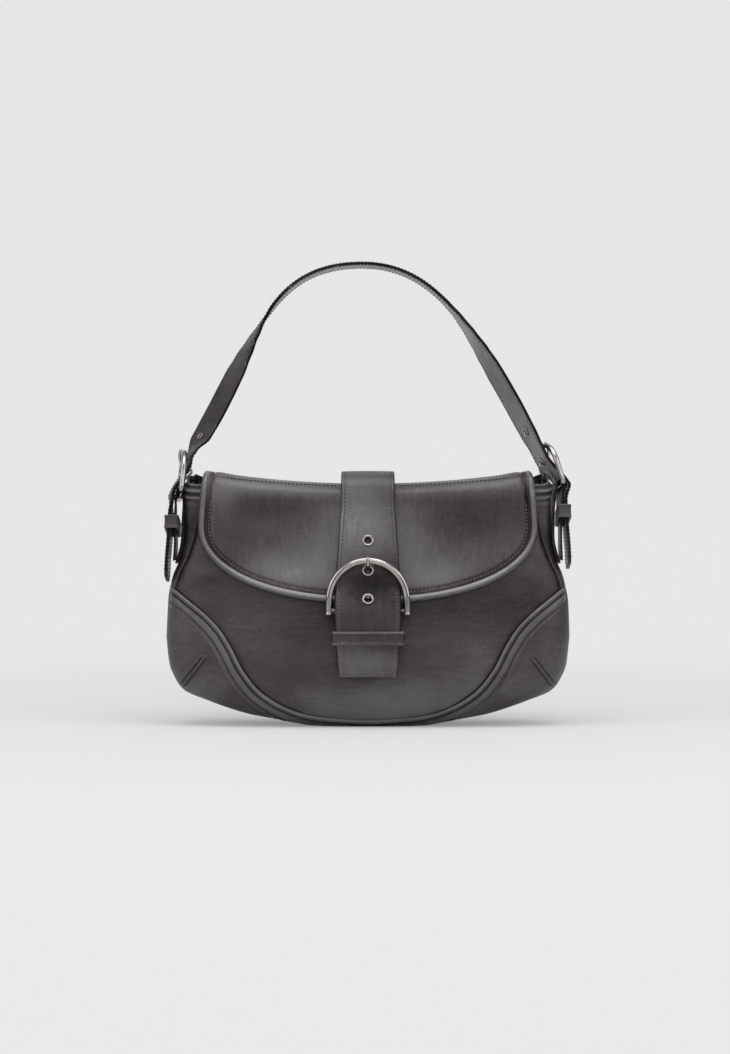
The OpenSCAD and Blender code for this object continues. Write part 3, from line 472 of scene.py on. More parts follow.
def clothMaterial(name, look):
    m, t, nodes, links, shader = nodeSet(name)
    coords = addNode(t, "ShaderNodeTexCoord")
    warp = addNode(t, "ShaderNodeTexWave", Scale=look["threads"], Distortion=0.6)
    warp.bands_direction = "X"
    weft = addNode(t, "ShaderNodeTexWave", Scale=look["threads"], Distortion=0.6)
    weft.bands_direction = "Z"
    links.new(coords.outputs["Object"], warp.inputs["Vector"])
    links.new(coords.outputs["Object"], weft.inputs["Vector"])
    weave = addNode(t, "ShaderNodeMath", operation="MULTIPLY")
    links.new(warp.outputs["Fac"], weave.inputs[0])
    links.new(weft.outputs["Fac"], weave.inputs[1])
    ramp = addNode(t, "ShaderNodeValToRGB")
    ramp.color_ramp.elements[0].color = (*look["dark"], 1)
    ramp.color_ramp.elements[1].color = (*look["light"], 1)
    links.new(weave.outputs[0], ramp.inputs["Fac"])
    links.new(ramp.outputs["Color"], shader.inputs["Base Color"])
    bump = addNode(t, "ShaderNodeBump", Strength=0.5, Distance=0.15 * mm)
    links.new(weave.outputs[0], bump.inputs["Height"])
    links.new(bump.outputs[0], shader.inputs["Normal"])
    shader.inputs["Roughness"].default_value = 0.8
    shader.inputs["Sheen Weight"].default_value = 0.3
    return m


def threadMaterial(name, dark, light):
    m, t, nodes, links, shader = nodeSet(name)
    coords = addNode(t, "ShaderNodeTexCoord")
    twist = addNode(t, "ShaderNodeTexNoise", Scale=1400.0, Detail=2.0)
    links.new(coords.outputs["Object"], twist.inputs["Vector"])
    ramp = addNode(t, "ShaderNodeValToRGB")
    ramp.color_ramp.elements[0].position = 0.4
    ramp.color_ramp.elements[0].color = (*dark, 1)
    ramp.color_ramp.elements[1].position = 0.6
    ramp.color_ramp.elements[1].color = (*light, 1)
    links.new(twist.outputs["Fac"], ramp.inputs["Fac"])
    links.new(ramp.outputs["Color"], shader.inputs["Base Color"])
    bump = addNode(t, "ShaderNodeBump", Strength=0.4, Distance=0.1 * mm)
    links.new(twist.outputs["Fac"], bump.inputs["Height"])
    links.new(bump.outputs[0], shader.inputs["Normal"])
    shader.inputs["Roughness"].default_value = 0.6
    return m


bodyLook = dict(dark=(0.013, 0.0099, 0.0087), middle=(0.040, 0.0325, 0.0315), light=(0.115, 0.11, 0.114),
                pale=(0.22, 0.21, 0.205), creviceShade=(0.006, 0.005, 0.005),
                wearAndLight=(0.26, 0.25, 0.245), rub=0.9, shift=(0, 0, 0), cloudScale=13.0,
                cloudStretch=(0.9, 1.0, 1.4),
                cloudShare=0.75, streakScale=260.0, streakStretch=(0.3, 1.0, 1.4), streakShare=0.22,
                mottleScale=420.0, mottleShare=0.2, toneShare=0.3, rough=(0.5, 0.38), grain=0.5,
                grainScale=900.0,
                grainDepth=0.2, creaseScale=15.0, crease=0.3, specular=0.5, sheen=0.08, coat=0.1)
flapLook = dict(bodyLook, streakStretch=(1.5, 1.0, 0.25), shift=(0.04, 0, 0.02), cloudShare=0.6)
strapLook = dict(bodyLook, cloudScale=20.0, streakStretch=(1.8, 1.0, 0.25), shift=(0.3, 0, 0.1), crease=0.15)
pipingLook = dict(bodyLook, rough=(0.42, 0.3), crease=0.4, creaseScale=60.0, coat=0.25, shift=(0.7, 0, 0))
bodyLeather = leatherMaterial("bodyLeather", bodyLook)
flapLeather = leatherMaterial("flapLeather", flapLook)
strapLeather = leatherMaterial("strapLeather", strapLook)
pipingLeather = leatherMaterial("pipingLeather", pipingLook)
liningCloth = clothMaterial("liningCloth", dict(threads=240.0, dark=(0.006, 0.006, 0.007),
                                                light=(0.028, 0.028, 0.03)))
gunmetal = metalMaterial("gunmetal", dict(dark=(0.30, 0.285, 0.27), light=(0.47, 0.45, 0.43), wearScale=90.0,
                                          rough=(0.1, 0.2)))
darkThread = threadMaterial("darkThread", (0.012, 0.010, 0.010), (0.035, 0.03, 0.028))
greyThread = threadMaterial("greyThread", (0.08, 0.07, 0.062), (0.17, 0.155, 0.14))
print("materials ready")


# Camera, light and floor

viewpoint = dict(x=-2.0, height=135.5, distance=1600.0, lens=79.4)
camera = bpy.data.objects.new("camera", bpy.data.cameras.new("camera"))
bpy.context.scene.collection.objects.link(camera)
camera.data.lens = viewpoint["lens"]
camera.data.sensor_width = 36
camera.location = Vector((viewpoint["x"], -viewpoint["distance"], viewpoint["height"])) * mm
camera.rotation_euler = (math.radians(90), 0, 0)
camera.data.clip_start, camera.data.clip_end = 0.05, 50
bpy.context.scene.camera = camera


def softLight(name, place, aim, size, watts, colour=(1, 1, 1)):
    lamp = bpy.data.lights.new(name, "AREA")
    lamp.shape = "RECTANGLE"
    lamp.size, lamp.size_y = size
    lamp.energy = watts
    lamp.color = colour
    holder = bpy.data.objects.new(name, lamp)
    bpy.context.scene.collection.objects.link(holder)
    holder.location = place
    holder.rotation_euler = (Vector(aim) - Vector(place)).to_track_quat("-Z", "Y").to_euler()
    return holder


softLight("topLight", (0.0, -0.5, 1.9), (0, 0, 0.1), (1.8, 1.4), 19)
softLight("leftLight", (-1.7, -0.9, 0.9), (0, 0, 0.12), (0.9, 1.6), 9)
softLight("rightLight", (1.7, -0.9, 0.9), (0, 0, 0.12), (0.9, 1.6), 9)
softLight("frontLight", (0.2, -2.3, 1.0), (0, 0, 0.12), (1.4, 0.9), 7)
world = bpy.data.worlds.new("studio")
bpy.context.scene.world = world
world.use_nodes = True
sky = world.node_tree
skyHeight = addNode(sky, "ShaderNodeSeparateXYZ")
skyTone = addNode(sky, "ShaderNodeValToRGB")
for place, shade in zip((0.0, 0.5, 0.62, 1.0), (0.2, 0.22, 0.5, 1.0)):
    stop = skyTone.color_ramp.elements.new(place)
    stop.color = (shade, shade, shade * 1.02, 1)
skyTone.color_ramp.elements.remove(skyTone.color_ramp.elements[-1])
skyTone.color_ramp.elements.remove(skyTone.color_ramp.elements[0])
skySpan = addNode(sky, "ShaderNodeMapRange")
skySpan.inputs["From Min"].default_value = -1
sky.links.new(addNode(sky, "ShaderNodeTexCoord").outputs["Generated"], skyHeight.inputs[0])
sky.links.new(skyHeight.outputs["Z"], skySpan.inputs["Value"])
sky.links.new(skySpan.outputs[0], skyTone.inputs["Fac"])
sky.links.new(skyTone.outputs["Color"], sky.nodes["Background"].inputs["Color"])
sky.nodes["Background"].inputs["Strength"].default_value = 0.7
backdrop = addNode(sky, "ShaderNodeBackground")  # the camera sees plain paper past the floor's edge
backdrop.inputs["Color"].default_value = (0.795, 0.795, 0.80, 1)
seenSky = addNode(sky, "ShaderNodeMixShader")
sky.links.new(addNode(sky, "ShaderNodeLightPath").outputs["Is Camera Ray"], seenSky.inputs[0])
sky.links.new(sky.nodes["Background"].outputs[0], seenSky.inputs[1])
sky.links.new(backdrop.outputs[0], seenSky.inputs[2])
sky.links.new(seenSky.outputs[0], sky.nodes["World Output"].inputs["Surface"])
bpy.context.scene.view_settings.view_transform = "Standard"

floorShape = dict(half=3.0, front=2.5, back=1.6, wall=3.0, bend=0.9, colour=(0.695, 0.695, 0.70),
                  glow=(0.3, 0.9), glowFrom=(0.3, 0.8))


def makeFloor():
    bm = bmesh.new()
    s = floorShape
    bmesh.ops.create_grid(bm, x_segments=1, y_segments=1, size=1)
    bmesh.ops.scale(bm, vec=(s["half"], (s["front"] + s["back"]) / 2, 1), verts=bm.verts[:])
    bmesh.ops.translate(bm, vec=(0, (s["back"] - s["front"]) / 2, -0.0001), verts=bm.verts[:])
    rear = [e for e in bm.edges if all(v.co.y > s["back"] - 0.01 for v in e.verts)]
    made = bmesh.ops.extrude_edge_only(bm, edges=rear)["geom"]
    up = [g for g in made if isinstance(g, bmesh.types.BMVert)]
    bmesh.ops.translate(bm, vec=(0, 0, s["wall"]), verts=up)
    bmesh.ops.bevel(bm, geom=rear, offset=s["bend"], segments=16, profile=0.5, affect="EDGES", material=-1)
    for f in bm.faces:
        f.smooth = True
    mesh = bpy.data.meshes.new("floor")
    bm.to_mesh(mesh)
    bm.free()
    floor = bpy.data.objects.new("floor", mesh)
    bpy.context.scene.collection.objects.link(floor)
    m, t, nodes, links, shader = nodeSet("paper")
    shader.inputs["Base Color"].default_value = (*s["colour"], 1)
    shader.inputs["Roughness"].default_value = 0.9
    shader.inputs["Specular IOR Level"].default_value = 0.1
    glow = addNode(t, "ShaderNodeEmission")
    glow.inputs["Color"].default_value = (0.815, 0.815, 0.82, 1)
    rays = addNode(t, "ShaderNodeLightPath")
    coords = addNode(t, "ShaderNodeTexCoord")
    reach = addNode(t, "ShaderNodeVectorMath", operation="LENGTH")
    links.new(coords.outputs["Object"], reach.inputs[0])
    share = addNode(t, "ShaderNodeMapRange")
    for key, number in zip(("From Min", "From Max", "To Min", "To Max"), s["glowFrom"] + s["glow"]):
        share.inputs[key].default_value = number
    links.new(reach.outputs["Value"], share.inputs["Value"])
    seen = addNode(t, "ShaderNodeMath", operation="MULTIPLY")
    links.new(share.outputs[0], seen.inputs[1])
    links.new(rays.outputs["Is Camera Ray"], seen.inputs[0])
    blendIn = addNode(t, "ShaderNodeMixShader")
    links.new(seen.outputs[0], blendIn.inputs[0])
    links.new(shader.outputs[0], blendIn.inputs[1])
    links.new(glow.outputs[0], blendIn.inputs[2])
    links.new(blendIn.outputs[0], nodes["Material Output"].inputs["Surface"])
    mesh.materials.append(m)


makeFloor()
print("studio ready")


# Front and back panels, with a soft swell and sunken seams

panel = dict(columns=150, rows=110, swell=0.5, seamDip=1.3, ear=5)


def makePanel(name, side, rim, node):
    low, corner = 0.045 * body["cornerZ"], body["cornerZ"]

    def place(u, v):
        s = spread(u) * -side
        ear = panel["ear"] * ease((abs(s) - 0.82) * 5.5) if side > 0 else 0
        if v < 0.55:
            z = mix(low, corner, ease(v / 0.55) * 0.35 + v / 0.55 * 0.65)
            edgeZ = z
        else:
            share = ((v - 0.55) / 0.45) ** 1.2
            edgeZ = mix(corner, rim + body["rimRise"], share)
            z = mix(corner, rim + body["rimRise"] * s * s + ear, share)
        half = panelHalf(edgeZ, side) - 0.1
        x = s * half
        toSeam = (1 - abs(s)) * half
        lift = panel["swell"] * ease(toSeam / 30) - panel["seamDip"] * hump(toSeam, 0, 1.6)
        lift += 0.7 * noise.noise(Vector((x * 0.016, side * 3, z * 0.03))) * ease(toSeam / 14)
        # slack folds run in from the seam's waist
        fold = abs(x) - 104 + (z - 98) * 0.35
        lift += (0.75 * math.exp(-(fold / 15) ** 2) * math.sin((z - 96) * 0.27 + abs(x) * 0.05)
                 * hump(z, 102, 15))
        # the tone paints shade along the sunken seam
        return bodyPoint(x, z, side, lift), -1.2 * hump(toSeam, 0, 3.2)

    bm = gridMesh(panel["columns"], panel["rows"], place)
    bmesh.ops.recalc_face_normals(bm, faces=bm.faces[:])
    if sum(f.normal.y * side for f in bm.faces) < 0:
        bmesh.ops.reverse_faces(bm, faces=bm.faces[:])
    turnIn(bm, body["leather"])
    piece = finishMesh(name, bm, bodyLeather, "bag", [node])
    # painted light: the pale patch low in the middle is a painted reflection of the floor, and the darker band
    # round the flap's lower edge and the spots beside its sides are painted shade
    return toneBy(piece, lambda p: 0.55 * spot(p, 0, 14, 70, 16) - 0.5 * spot(p, 0, 85, 160, 22)
                  - 0.1 * spot(p, -118, 120, 26, 40) - 0.1 * spot(p, 118, 120, 26, 40))


makePanel("frontPanel", -1, body["frontRim"], "front_panel")
makePanel("backPanel", 1, body["backRim"], "back_panel")
print("panels made")


# The base band: under the bag from corner to corner, wide patches at both ends

band = dict(along=300, across=120, stitchAt=7.75, edgeStitchAt=2.55)


def bandStation(u):  # u from 0 to 1 gives the hand and the share of the corner's height
    if u < 0.44:
        return -1.0, mix(1, 0.045, (u / 0.44) ** 0.9)
    if u > 0.56:
        return 1.0, mix(1, 0.045, ((1 - u) / 0.44) ** 0.9)
    return mix(-1, 1, (u - 0.44) / 0.12), 0.045


def bandFlat(hand, s, w, side):
    corner, cut = body["cornerZ"], body["footCut"]
    z0 = s * corner
    x0 = abs(hand) * panelHalf(z0, side)
    z1 = mix(-cut, corner, curve(edgeLine, s))
    low = 0.09
    if s >= low:
        x1 = halfWidth(z1)
    else:
        x1 = x0 * halfWidth(mix(-cut, corner, curve(edgeLine, low))) / panelHalf(low * corner, side)
    t = 1 - (1 - w) ** 2.5
    return math.copysign(mix(x0, x1, t), hand), mix(z0, z1, t)


def makeBand():
    def place(u, v):
        hand, s = bandStation(u)
        side = -1 if v < 0.5 else 1
        w = min(0.985, 2 * v if v < 0.5 else 2 - 2 * v)
        x, z = bandFlat(hand, s, w, side)
        p = bodyPoint(x, z, side, 0)
        fromSeam = (p - bodyPoint(*bandFlat(hand, s, 0, side), side, 0)).length
        lift = 0.45 * ease((fromSeam - 3) / 12) * ease(z / 10)
        lift += (0.5 * noise.noise(Vector((x * 0.02, side * 2, z * 0.03)))
                 * ease((fromSeam - 6) / 14) * ease(z / 10))
        p = bodyPoint(x, z, side, lift)
        p.z = max(0.0, p.z)
        return p

    bm = gridMesh(band["along"], band["across"], place)
    bmesh.ops.recalc_face_normals(bm, faces=bm.faces[:])
    low = min(bm.faces, key=lambda f: f.calc_center_median().z)
    if low.normal.z > 0:
        bmesh.ops.reverse_faces(bm, faces=bm.faces[:])
    turnIn(bm, body["leather"])
    piece = finishMesh("baseBand", bm, bodyLeather, "bag", ["base_band"])
    toneBy(piece, lambda p: 0.7 * spot(p, -112, 24, 20, 12) - 0.15 * spot(p, -124, 52, 18, 14)
           + 0.3 * spot(p, 124, 50, 14, 16)
           - 0.5 * spot(p, 100, 14, 24, 8))


def seamPath(side, count=320):  # the band's seam as x and z, from the left corner to the right one
    pts = []
    for i in range(count + 1):
        hand, s = bandStation(i / count)
        x, z = bandFlat(hand, s, 0, side)
        pts.append((x, z))
    return pts


def offsetFlat(points, amount):  # shifts a flat line sideways, to its right hand
    out = []
    for i, (x, z) in enumerate(points):
        a, b = points[max(0, i - 1)], points[min(len(points) - 1, i + 1)]
        dx, dz = b[0] - a[0], b[1] - a[1]
        n = math.hypot(dx, dz) or 1
        out.append((x + dz / n * -amount, z + dx / n * amount))
    return out


def stripMesh(points, offsets, heights, tones, surface):  # a narrow strip along a flat line
    lines = [offsetFlat(points, o) for o in offsets]

    def place(u, v):
        i = round(u * (len(points) - 1))
        k = round(v * (len(offsets) - 1))
        x, z = lines[k][i]
        return surface(x, z, heights[k]), tones[k]

    return gridMesh(len(points) - 1, len(offsets) - 1, place)


def makeWelt(side, name):
    # a folded edge that stands over the panel, then a groove and the stitched margin; the tone paints a shadow
    # in the gap on the panel side, a highlight along the ridge and shade in both stitch grooves each row is
    # the distance from the seam, the height and the tone
    profile = [(2.4, -0.9, -1.6), (2.1, 0.05, -1.8), (1.35, 0.03, -1.8), (1.15, 0.35, -1.1), (1.0, 0.95, 0.2),
               (0.7, 1.35, 0.9), (0.3, 1.5, 1.0), (-0.3, 1.45, 0.5), (-0.9, 1.25, 0.1), (-1.5, 0.95, 0),
               (-2.0, 0.45, -0.4), (-2.35, 0.02, -1.3), (-2.75, 0.02, -1.3), (-3.1, 0.45, -0.4),
               (-3.7, 0.85, 0.3),
               (-5.0, 0.95, 0.45), (-6.2, 0.88, 0.3), (-7.0, 0.6, 0), (-7.5, 0.1, -1.1), (-7.95, 0.02, -1.1),
               (-8.4, 0.32, -0.3), (-9.2, 0.5, 0.1), (-10.5, 0.4, 0), (-12.5, -0.3, 0)]
    flat = seamPath(side, 420)

    def surface(x, z, lift):
        edge = halfWidth(max(z, 0)) * 0.985
        over = max(0.0, abs(x) - edge)
        p = bodyPoint(math.copysign(min(abs(x), edge), x), max(z, -0.3), side, lift - over - 0.8 * ease(over))
        p.z = max(p.z, 0.05)
        return p

    bm = stripMesh(flat, *zip(*profile), surface)
    bmesh.ops.recalc_face_normals(bm, faces=bm.faces[:])
    if sum(f.normal.y * side for f in bm.faces) < 0:
        bmesh.ops.reverse_faces(bm, faces=bm.faces[:])
    return finishMesh(name, bm, pipingLeather, "bag", ())


makeBand()
makeWelt(-1, "bandWeltFront")
makeWelt(1, "bandWeltBack")


# Darts: pinched seams low on both corner patches

dart = dict(inner=(110, 49.5), outer=(127, 28), half=3.4, stitchAt=2.6, lip=1.5, groove=1.4)


def makeDart(hand, side, name):
    def place(u, v):
        x = mix(dart["inner"][0], dart["outer"][0], u) * hand
        z = mix(dart["inner"][1], dart["outer"][1], u)
        dx, dz = (dart["outer"][0] - dart["inner"][0]) * hand, dart["outer"][1] - dart["inner"][1]
        n = math.hypot(dx, dz)
        across = (2 * v - 1) * dart["half"] * (0.55 + 0.45 * ease(u * 6))
        x, z = x - dz / n * across, z + dx / n * across
        half = halfWidth(z)
        x = math.copysign(min(abs(x), half * 0.98), hand)
        d = abs(2 * v - 1)
        grow = ease(u * 7)
        lift = (-0.5 + (dart["lip"] + 0.5) * hump(d, 0.42, 0.3) * grow
                - dart["groove"] * hump(d, 0, 0.16) * grow + 0.5 * (1 - d))
        return bodyPoint(x, z, side, lift)

    bm = gridMesh(70, 28, place)
    bmesh.ops.recalc_face_normals(bm, faces=bm.faces[:])
    if sum(f.normal.y * side for f in bm.faces) < 0:
        bmesh.ops.reverse_faces(bm, faces=bm.faces[:])
    return finishMesh(name, bm, bodyLeather, "bag", ())


for hand, word in ((-1, "Left"), (1, "Right")):
    makeDart(hand, -1, "dartFront" + word)
    makeDart(hand, 1, "dartBack" + word)
print("base band, welts and darts made")


# Gussets with a rolled, creased lip

gusset = dict(columns=28, rows=110, crease=0.95, bulge=2.0, frontLip=164.5, backLip=171)


def makeGusset(hand, name, node):
    g = body["gussetHalf"] - 0.1

    def place(u, v):
        y = hand * mix(-g, g, u)
        rim = mix(gusset["frontLip"], gusset["backLip"], ease((y + g) / (2 * g)))
        z = mix(body["cornerZ"] + 0.2, rim, v)
        top = rim - z
        middle = 1 - (2 * u - 1) ** 2
        lift = -0.6 * hump(abs(2 * u - 1), 1, 0.14)
        lift += gusset["crease"] * math.cos(top * 1.3 + 0.5 * math.sin(y * 0.4)) * hump(top, 5, 7)
        lift += gusset["bulge"] * middle * ease((z - 108) / 14) * ease((rim - z) / 3)
        # the tone paints a highlight on each crease ridge and shade in each trough, and is darker round mid
        # height
        return (sidePoint(y, z, hand, lift),
                0.8 * math.cos(top * 1.3) * hump(top, 5, 7) - 0.8 * hump(z, 128, 22))

    bm = gridMesh(gusset["columns"], gusset["rows"], place)
    bmesh.ops.recalc_face_normals(bm, faces=bm.faces[:])
    if sum(f.normal.x * hand for f in bm.faces) < 0:
        bmesh.ops.reverse_faces(bm, faces=bm.faces[:])
    turnIn(bm, body["leather"])
    return finishMesh(name, bm, bodyLeather, "bag", [node])


makeGusset(-1, "gussetLeft", "gusset_left")
makeGusset(1, "gussetRight", "gusset_right")


# The lining is one pocket of cloth

lining = dict(around=120, rows=70, gap=0.9, thick=0.8)


def makeLining():
    off = -(body["leather"] + lining["gap"])
    rim = body["frontRim"]

    def place(u, v):
        turn = 2 * math.pi * u
        side = 1 if math.sin(turn) >= 0 else -1
        c = math.cos(turn)
        z = mix(0.035, 0.985, v) * rim
        lift = (off - 0.6 * (0.5 + 0.5 * math.sin(turn * 9 + 2 * math.sin(z * 0.05)))
                * ease(v * 4) * ease((1 - v) * 6))
        return bodyPoint(c * halfWidth(z) * 0.985, z, side, lift)

    bm = gridMesh(lining["around"], lining["rows"], place, closed=True)
    low = [e for e in bm.edges if e.is_boundary and all(v.co.z < 0.03 for v in e.verts)]
    bmesh.ops.holes_fill(bm, edges=low, sides=0)
    bmesh.ops.recalc_face_normals(bm, faces=bm.faces[:])
    bmesh.ops.reverse_faces(bm, faces=bm.faces[:])
    piece = finishMesh("liningPocket", bm, liningCloth, "bag", ["lining"])
    wall = piece.modifiers.new("wall", "SOLIDIFY")
    wall.thickness = lining["thick"] * mm
    wall.offset = 1
    return piece


makeLining()
print("gussets and lining made")


# The flap, in one sheet from its front edge over the mouth to the seam on the back

flap = dict(half=115, topHalf=111.5, wideZ=136, lowZ=83.5, round=2.2, foldZ=150, topMid=165.5, topEnd=174.5,
            thick=1.4, liningThick=0.9, gap=0.5, piping=2.4, hingeY=11, anchorZ=140, touch=0.15, square=0.6,
            stitchAt=7.2, columns=170, rows=170, drawIn=3.0)
flapStack = flap["thick"] + flap["touch"] + flap["liningThick"]


def flapSide(z):  # half width above the widest place
    return (flap["half"]
            - flap["drawIn"] * (max(0.0, z - flap["wideZ"]) / (flap["topEnd"] - flap["wideZ"])) ** 1.5)


def flapOutline(e, t):  # half width and height; t is 0 at the lower edge's middle and 1 at the fold
    if t < 0.86:
        b = math.radians(90 * (1 - t / 0.86))
        return ((flap["half"] - e) * math.cos(b) ** (2 / flap["round"]),
                flap["wideZ"] - (flap["wideZ"] - flap["lowZ"] - e) * math.sin(b) ** (2 / flap["round"]))
    z = mix(flap["wideZ"], flap["foldZ"], (t - 0.86) / 0.14)
    return flapSide(z) - e, z


def flapTopAt(x):
    return mix(flap["topMid"], flap["topEnd"], min(1.05, abs(x) / flap["topHalf"]) ** 2)


def foldPoint(x, degrees, lift, side=-1):
    a = math.radians(degrees)
    if side < 0:
        start = bodyPoint(x, flap["foldZ"], -1, flap["gap"] + flapStack)
        ry = flap["hingeY"] - start.y
    else:
        start = bodyPoint(x, flap["foldZ"] + 4, 1, flap["gap"] + flap["thick"])
        ry = start.y - flap["hingeY"]
    rz = flapTopAt(x) - start.z
    sq = flap["square"]
    c, s = max(0.0, math.cos(a)), math.sin(a)
    n = Vector((0, side * rz * c ** (2 - sq), ry * s ** (2 - sq))).normalized()
    y = start.y - side * ry * (1 - c ** sq)
    return Vector((start.x, y, start.z + rz * s ** sq)) + n * lift


def borderLine(e, count=260):  # the flap's outline drawn in by e, from the left fold to the right
    half = [flapOutline(e, k / count) for k in range(count + 1)]
    return [(-x, z) for x, z in reversed(half)] + half[1:]


edgeTree = kdtree.KDTree(2 * 260 + 1)
for i, (x, z) in enumerate(borderLine(0)):
    edgeTree.insert((x, 0, z), i)
edgeTree.balance()


def flapPlace(e, depth, wrinkle=1.0, back=True):
    def place(u, v):
        s = spread(u)
        if v < 0.62:
            t = v / 0.62
            half, z = flapOutline(e, 0.012 + 0.988 * t)
            x = s * half
            inset = edgeTree.find((x, 0, z))[2]
            lift = flap["gap"] + flapStack - depth
            lift -= wrinkle * 0.8 * hump(inset, flap["stitchAt"], 1.0)
            lift += wrinkle * 0.5 * hump(inset, 12, 6) - wrinkle * 0.5 * hump(inset, 4.6, 0.8)
            lift += wrinkle * 0.5 * noise.noise(Vector((x * 0.018, 5, z * 0.022))) * ease(inset / 25)
            # the tone paints shade in the groove along the stitch row
            return bodyPoint(x, z, -1, lift), -1.1 * hump(inset, 6.6, 1.6)
        turn = min(1, (v - 0.62) / (0.18 if back else 0.38))
        half = flapSide(mix(flap["foldZ"], flap["topEnd"], math.sin(math.pi / 2 * turn) ** flap["square"]))
        x = s * (half - e)
        inset = half - abs(x)
        lift = -depth + wrinkle * (0.5 * hump(inset, 12, 6) - 0.8 * hump(inset, flap["stitchAt"], 1.0))
        # the tone paints shade in the groove along the stitch row
        tone = -1.1 * hump(inset, 6.6, 1.6)
        if turn < 1 or not back:
            return foldPoint(x, 90 * turn, lift), tone
        if v < 0.88:
            return foldPoint(x, 90 * (1 - (v - 0.8) / 0.08), lift, 1), tone
        z = mix(flap["foldZ"] + 4, flap["anchorZ"], (v - 0.88) / 0.12)
        return bodyPoint(x, z, 1, flap["gap"] + flap["thick"] + lift), tone
    return place


def overHinge(piece):  # sewn to the back; this only bakes the piece's placement into its mesh
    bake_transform(piece)
    return piece


def makeFlap():
    bm = gridMesh(flap["columns"], flap["rows"], flapPlace(2 * flap["piping"] - 0.6, 0))
    bmesh.ops.recalc_face_normals(bm, faces=bm.faces[:])
    if sum(f.normal.y for f in bm.faces if f.calc_center_median().y < 0) > 0:
        bmesh.ops.reverse_faces(bm, faces=bm.faces[:])
    piece = finishMesh("flapCover", bm, flapLeather, "flap", ["flap_panel", "flap_anchor"],
                       ride=False)
    # the pale bands along the top edge near the fold are a painted highlight; the other pale and dark spots
    # are the leather's smoky burnish together with painted light and shade
    toneBy(piece, lambda p: 1.2 * spot(p, -50, 102, 32, 15) + 0.8 * spot(p, 46, 98, 26, 14)
           - 0.8 * spot(p, 72, 140, 34, 16)
           - 0.6 * spot(p, -74, 149, 34, 8) + 0.5 * spot(p, -24, 128, 16, 22) + 0.45 * spot(p, 28, 132, 14, 20)
           + 0.9 * spot(p, -70, 166, 46, 9) + 0.8 * spot(p, 76, 167, 44, 8) + 0.6 * spot(p, -98, 153, 10, 9)
           - 0.2 * spot(p, -88, 118, 22, 16))
    wall = piece.modifiers.new("wall", "SOLIDIFY")
    wall.thickness = flap["thick"] * mm
    wall.offset = -1
    overHinge(piece)
    bm = gridMesh(90, 80, flapPlace(2 * flap["piping"] + 0.8, flap["thick"] + flap["touch"], 0.0, False))
    bmesh.ops.recalc_face_normals(bm, faces=bm.faces[:])
    if sum(f.normal.y for f in bm.faces if f.calc_center_median().y < 0) < 0:
        bmesh.ops.reverse_faces(bm, faces=bm.faces[:])
    inner = finishMesh("flapLiningCloth", bm, liningCloth, "flap", ["flap_lining"], ride=False)
    wall = inner.modifiers.new("wall", "SOLIDIFY")
    wall.thickness = flap["liningThick"] * mm
    wall.offset = 1
    overHinge(inner)


def makePiping():
    r = flap["piping"]
    lift = flap["gap"] + r
    pts = []
    for hand in (-1, 1):
        half = []
        for k in range(30):
            turn = 1 - k / 30
            side = flapSide(mix(flap["foldZ"], flap["topEnd"], math.sin(math.pi / 2 * turn) ** flap["square"]))
            half.append(foldPoint(hand * (side - r), 90 * turn, r - flapStack - 2 * ease(turn * 1.3)))
        half += [bodyPoint(hand * x, z, -1, lift) for x, z in
                 [flapOutline(r, 1 - k / 200) for k in range(201)]]
        pts.append(half)
    line = pts[0] + pts[1][::-1][1:]
    line = smoothPath(line[::3] + [line[-1]], 520)
    ups = [Vector((0, -1, 0.35)) for _ in line]
    stations = frames(line, ups)

    def section(u, v):
        a = 2 * math.pi * u
        k = r * (1 + 0.03 * noise.noise(Vector((math.cos(a), math.sin(a), v * 160))))
        # the tone paints a highlight on the roll's upper side and along the middle of its length, and darkens
        # the rest a little
        return (k * math.cos(a), k * math.sin(a),
                1.5 * max(0.0, math.sin(a - 0.25)) ** 3 - 0.4 + 0.7 * hump(v, 0.5, 0.3))

    bm = loftMesh(stations, 28, section)
    piece = finishMesh("flapPipingRoll", bm, pipingLeather, "flap", ["flap_piping"],
                       ride=False)
    overHinge(piece)


makeFlap()
makePiping()
print("flap made")


# The centre strap runs from the square tip over the mouth to its seam on the back

strap = dict(thick=2.6, topHalf=18.2, buckleHalf=22.4, endHalf=19.7, endZ=35, topZ=174,
             eyeletLow=86, eyeletStep=19.8,
             hole=2.25, play=0.25)
buckle = dict(r=26, wire=2.4, z=86.8, arm=9.6, barZ=79.5, barR=1.7, prong=1.0, seatZ=99)
onFlap = flap["gap"] + flapStack
layer = 2 * buckle["prong"] + 2 * strap["play"] + 0.7
keeperThick = 1.3
frameY = -(depthAt(0, buckle["seatZ"], -1) + onFlap + layer + strap["thick"] * 1.03
           + buckle["wire"] + strap["play"])
barRing = buckle["barR"] + 0.15 + keeperThick - 0.2 + 0.15
strapLift = [(strap["endZ"] - 3, 3.4), (46, 4.6), (58, 6.9), (68, 9.2),
             (buckle["barZ"], -frameY + barRing - depthAt(0, buckle["barZ"], -1)),
             (buckle["seatZ"], onFlap + layer), (107, onFlap + layer), (116, onFlap + layer * 0.7),
             (126, onFlap + 1.35), (138, onFlap + 0.6), (flap["foldZ"], onFlap + 0.15)]
strapWidth = [(strap["endZ"] - 1, strap["endHalf"]), (78, strap["buckleHalf"]),
              (126, strap["buckleHalf"] - 2.5),
              (flap["foldZ"], strap["topHalf"])]


def strapY(z):
    return -depthAt(0, z, -1) - curve(strapLift, z)


def strapLean(z):
    return -math.atan2(strapY(z + 3) - strapY(z - 3), 6)


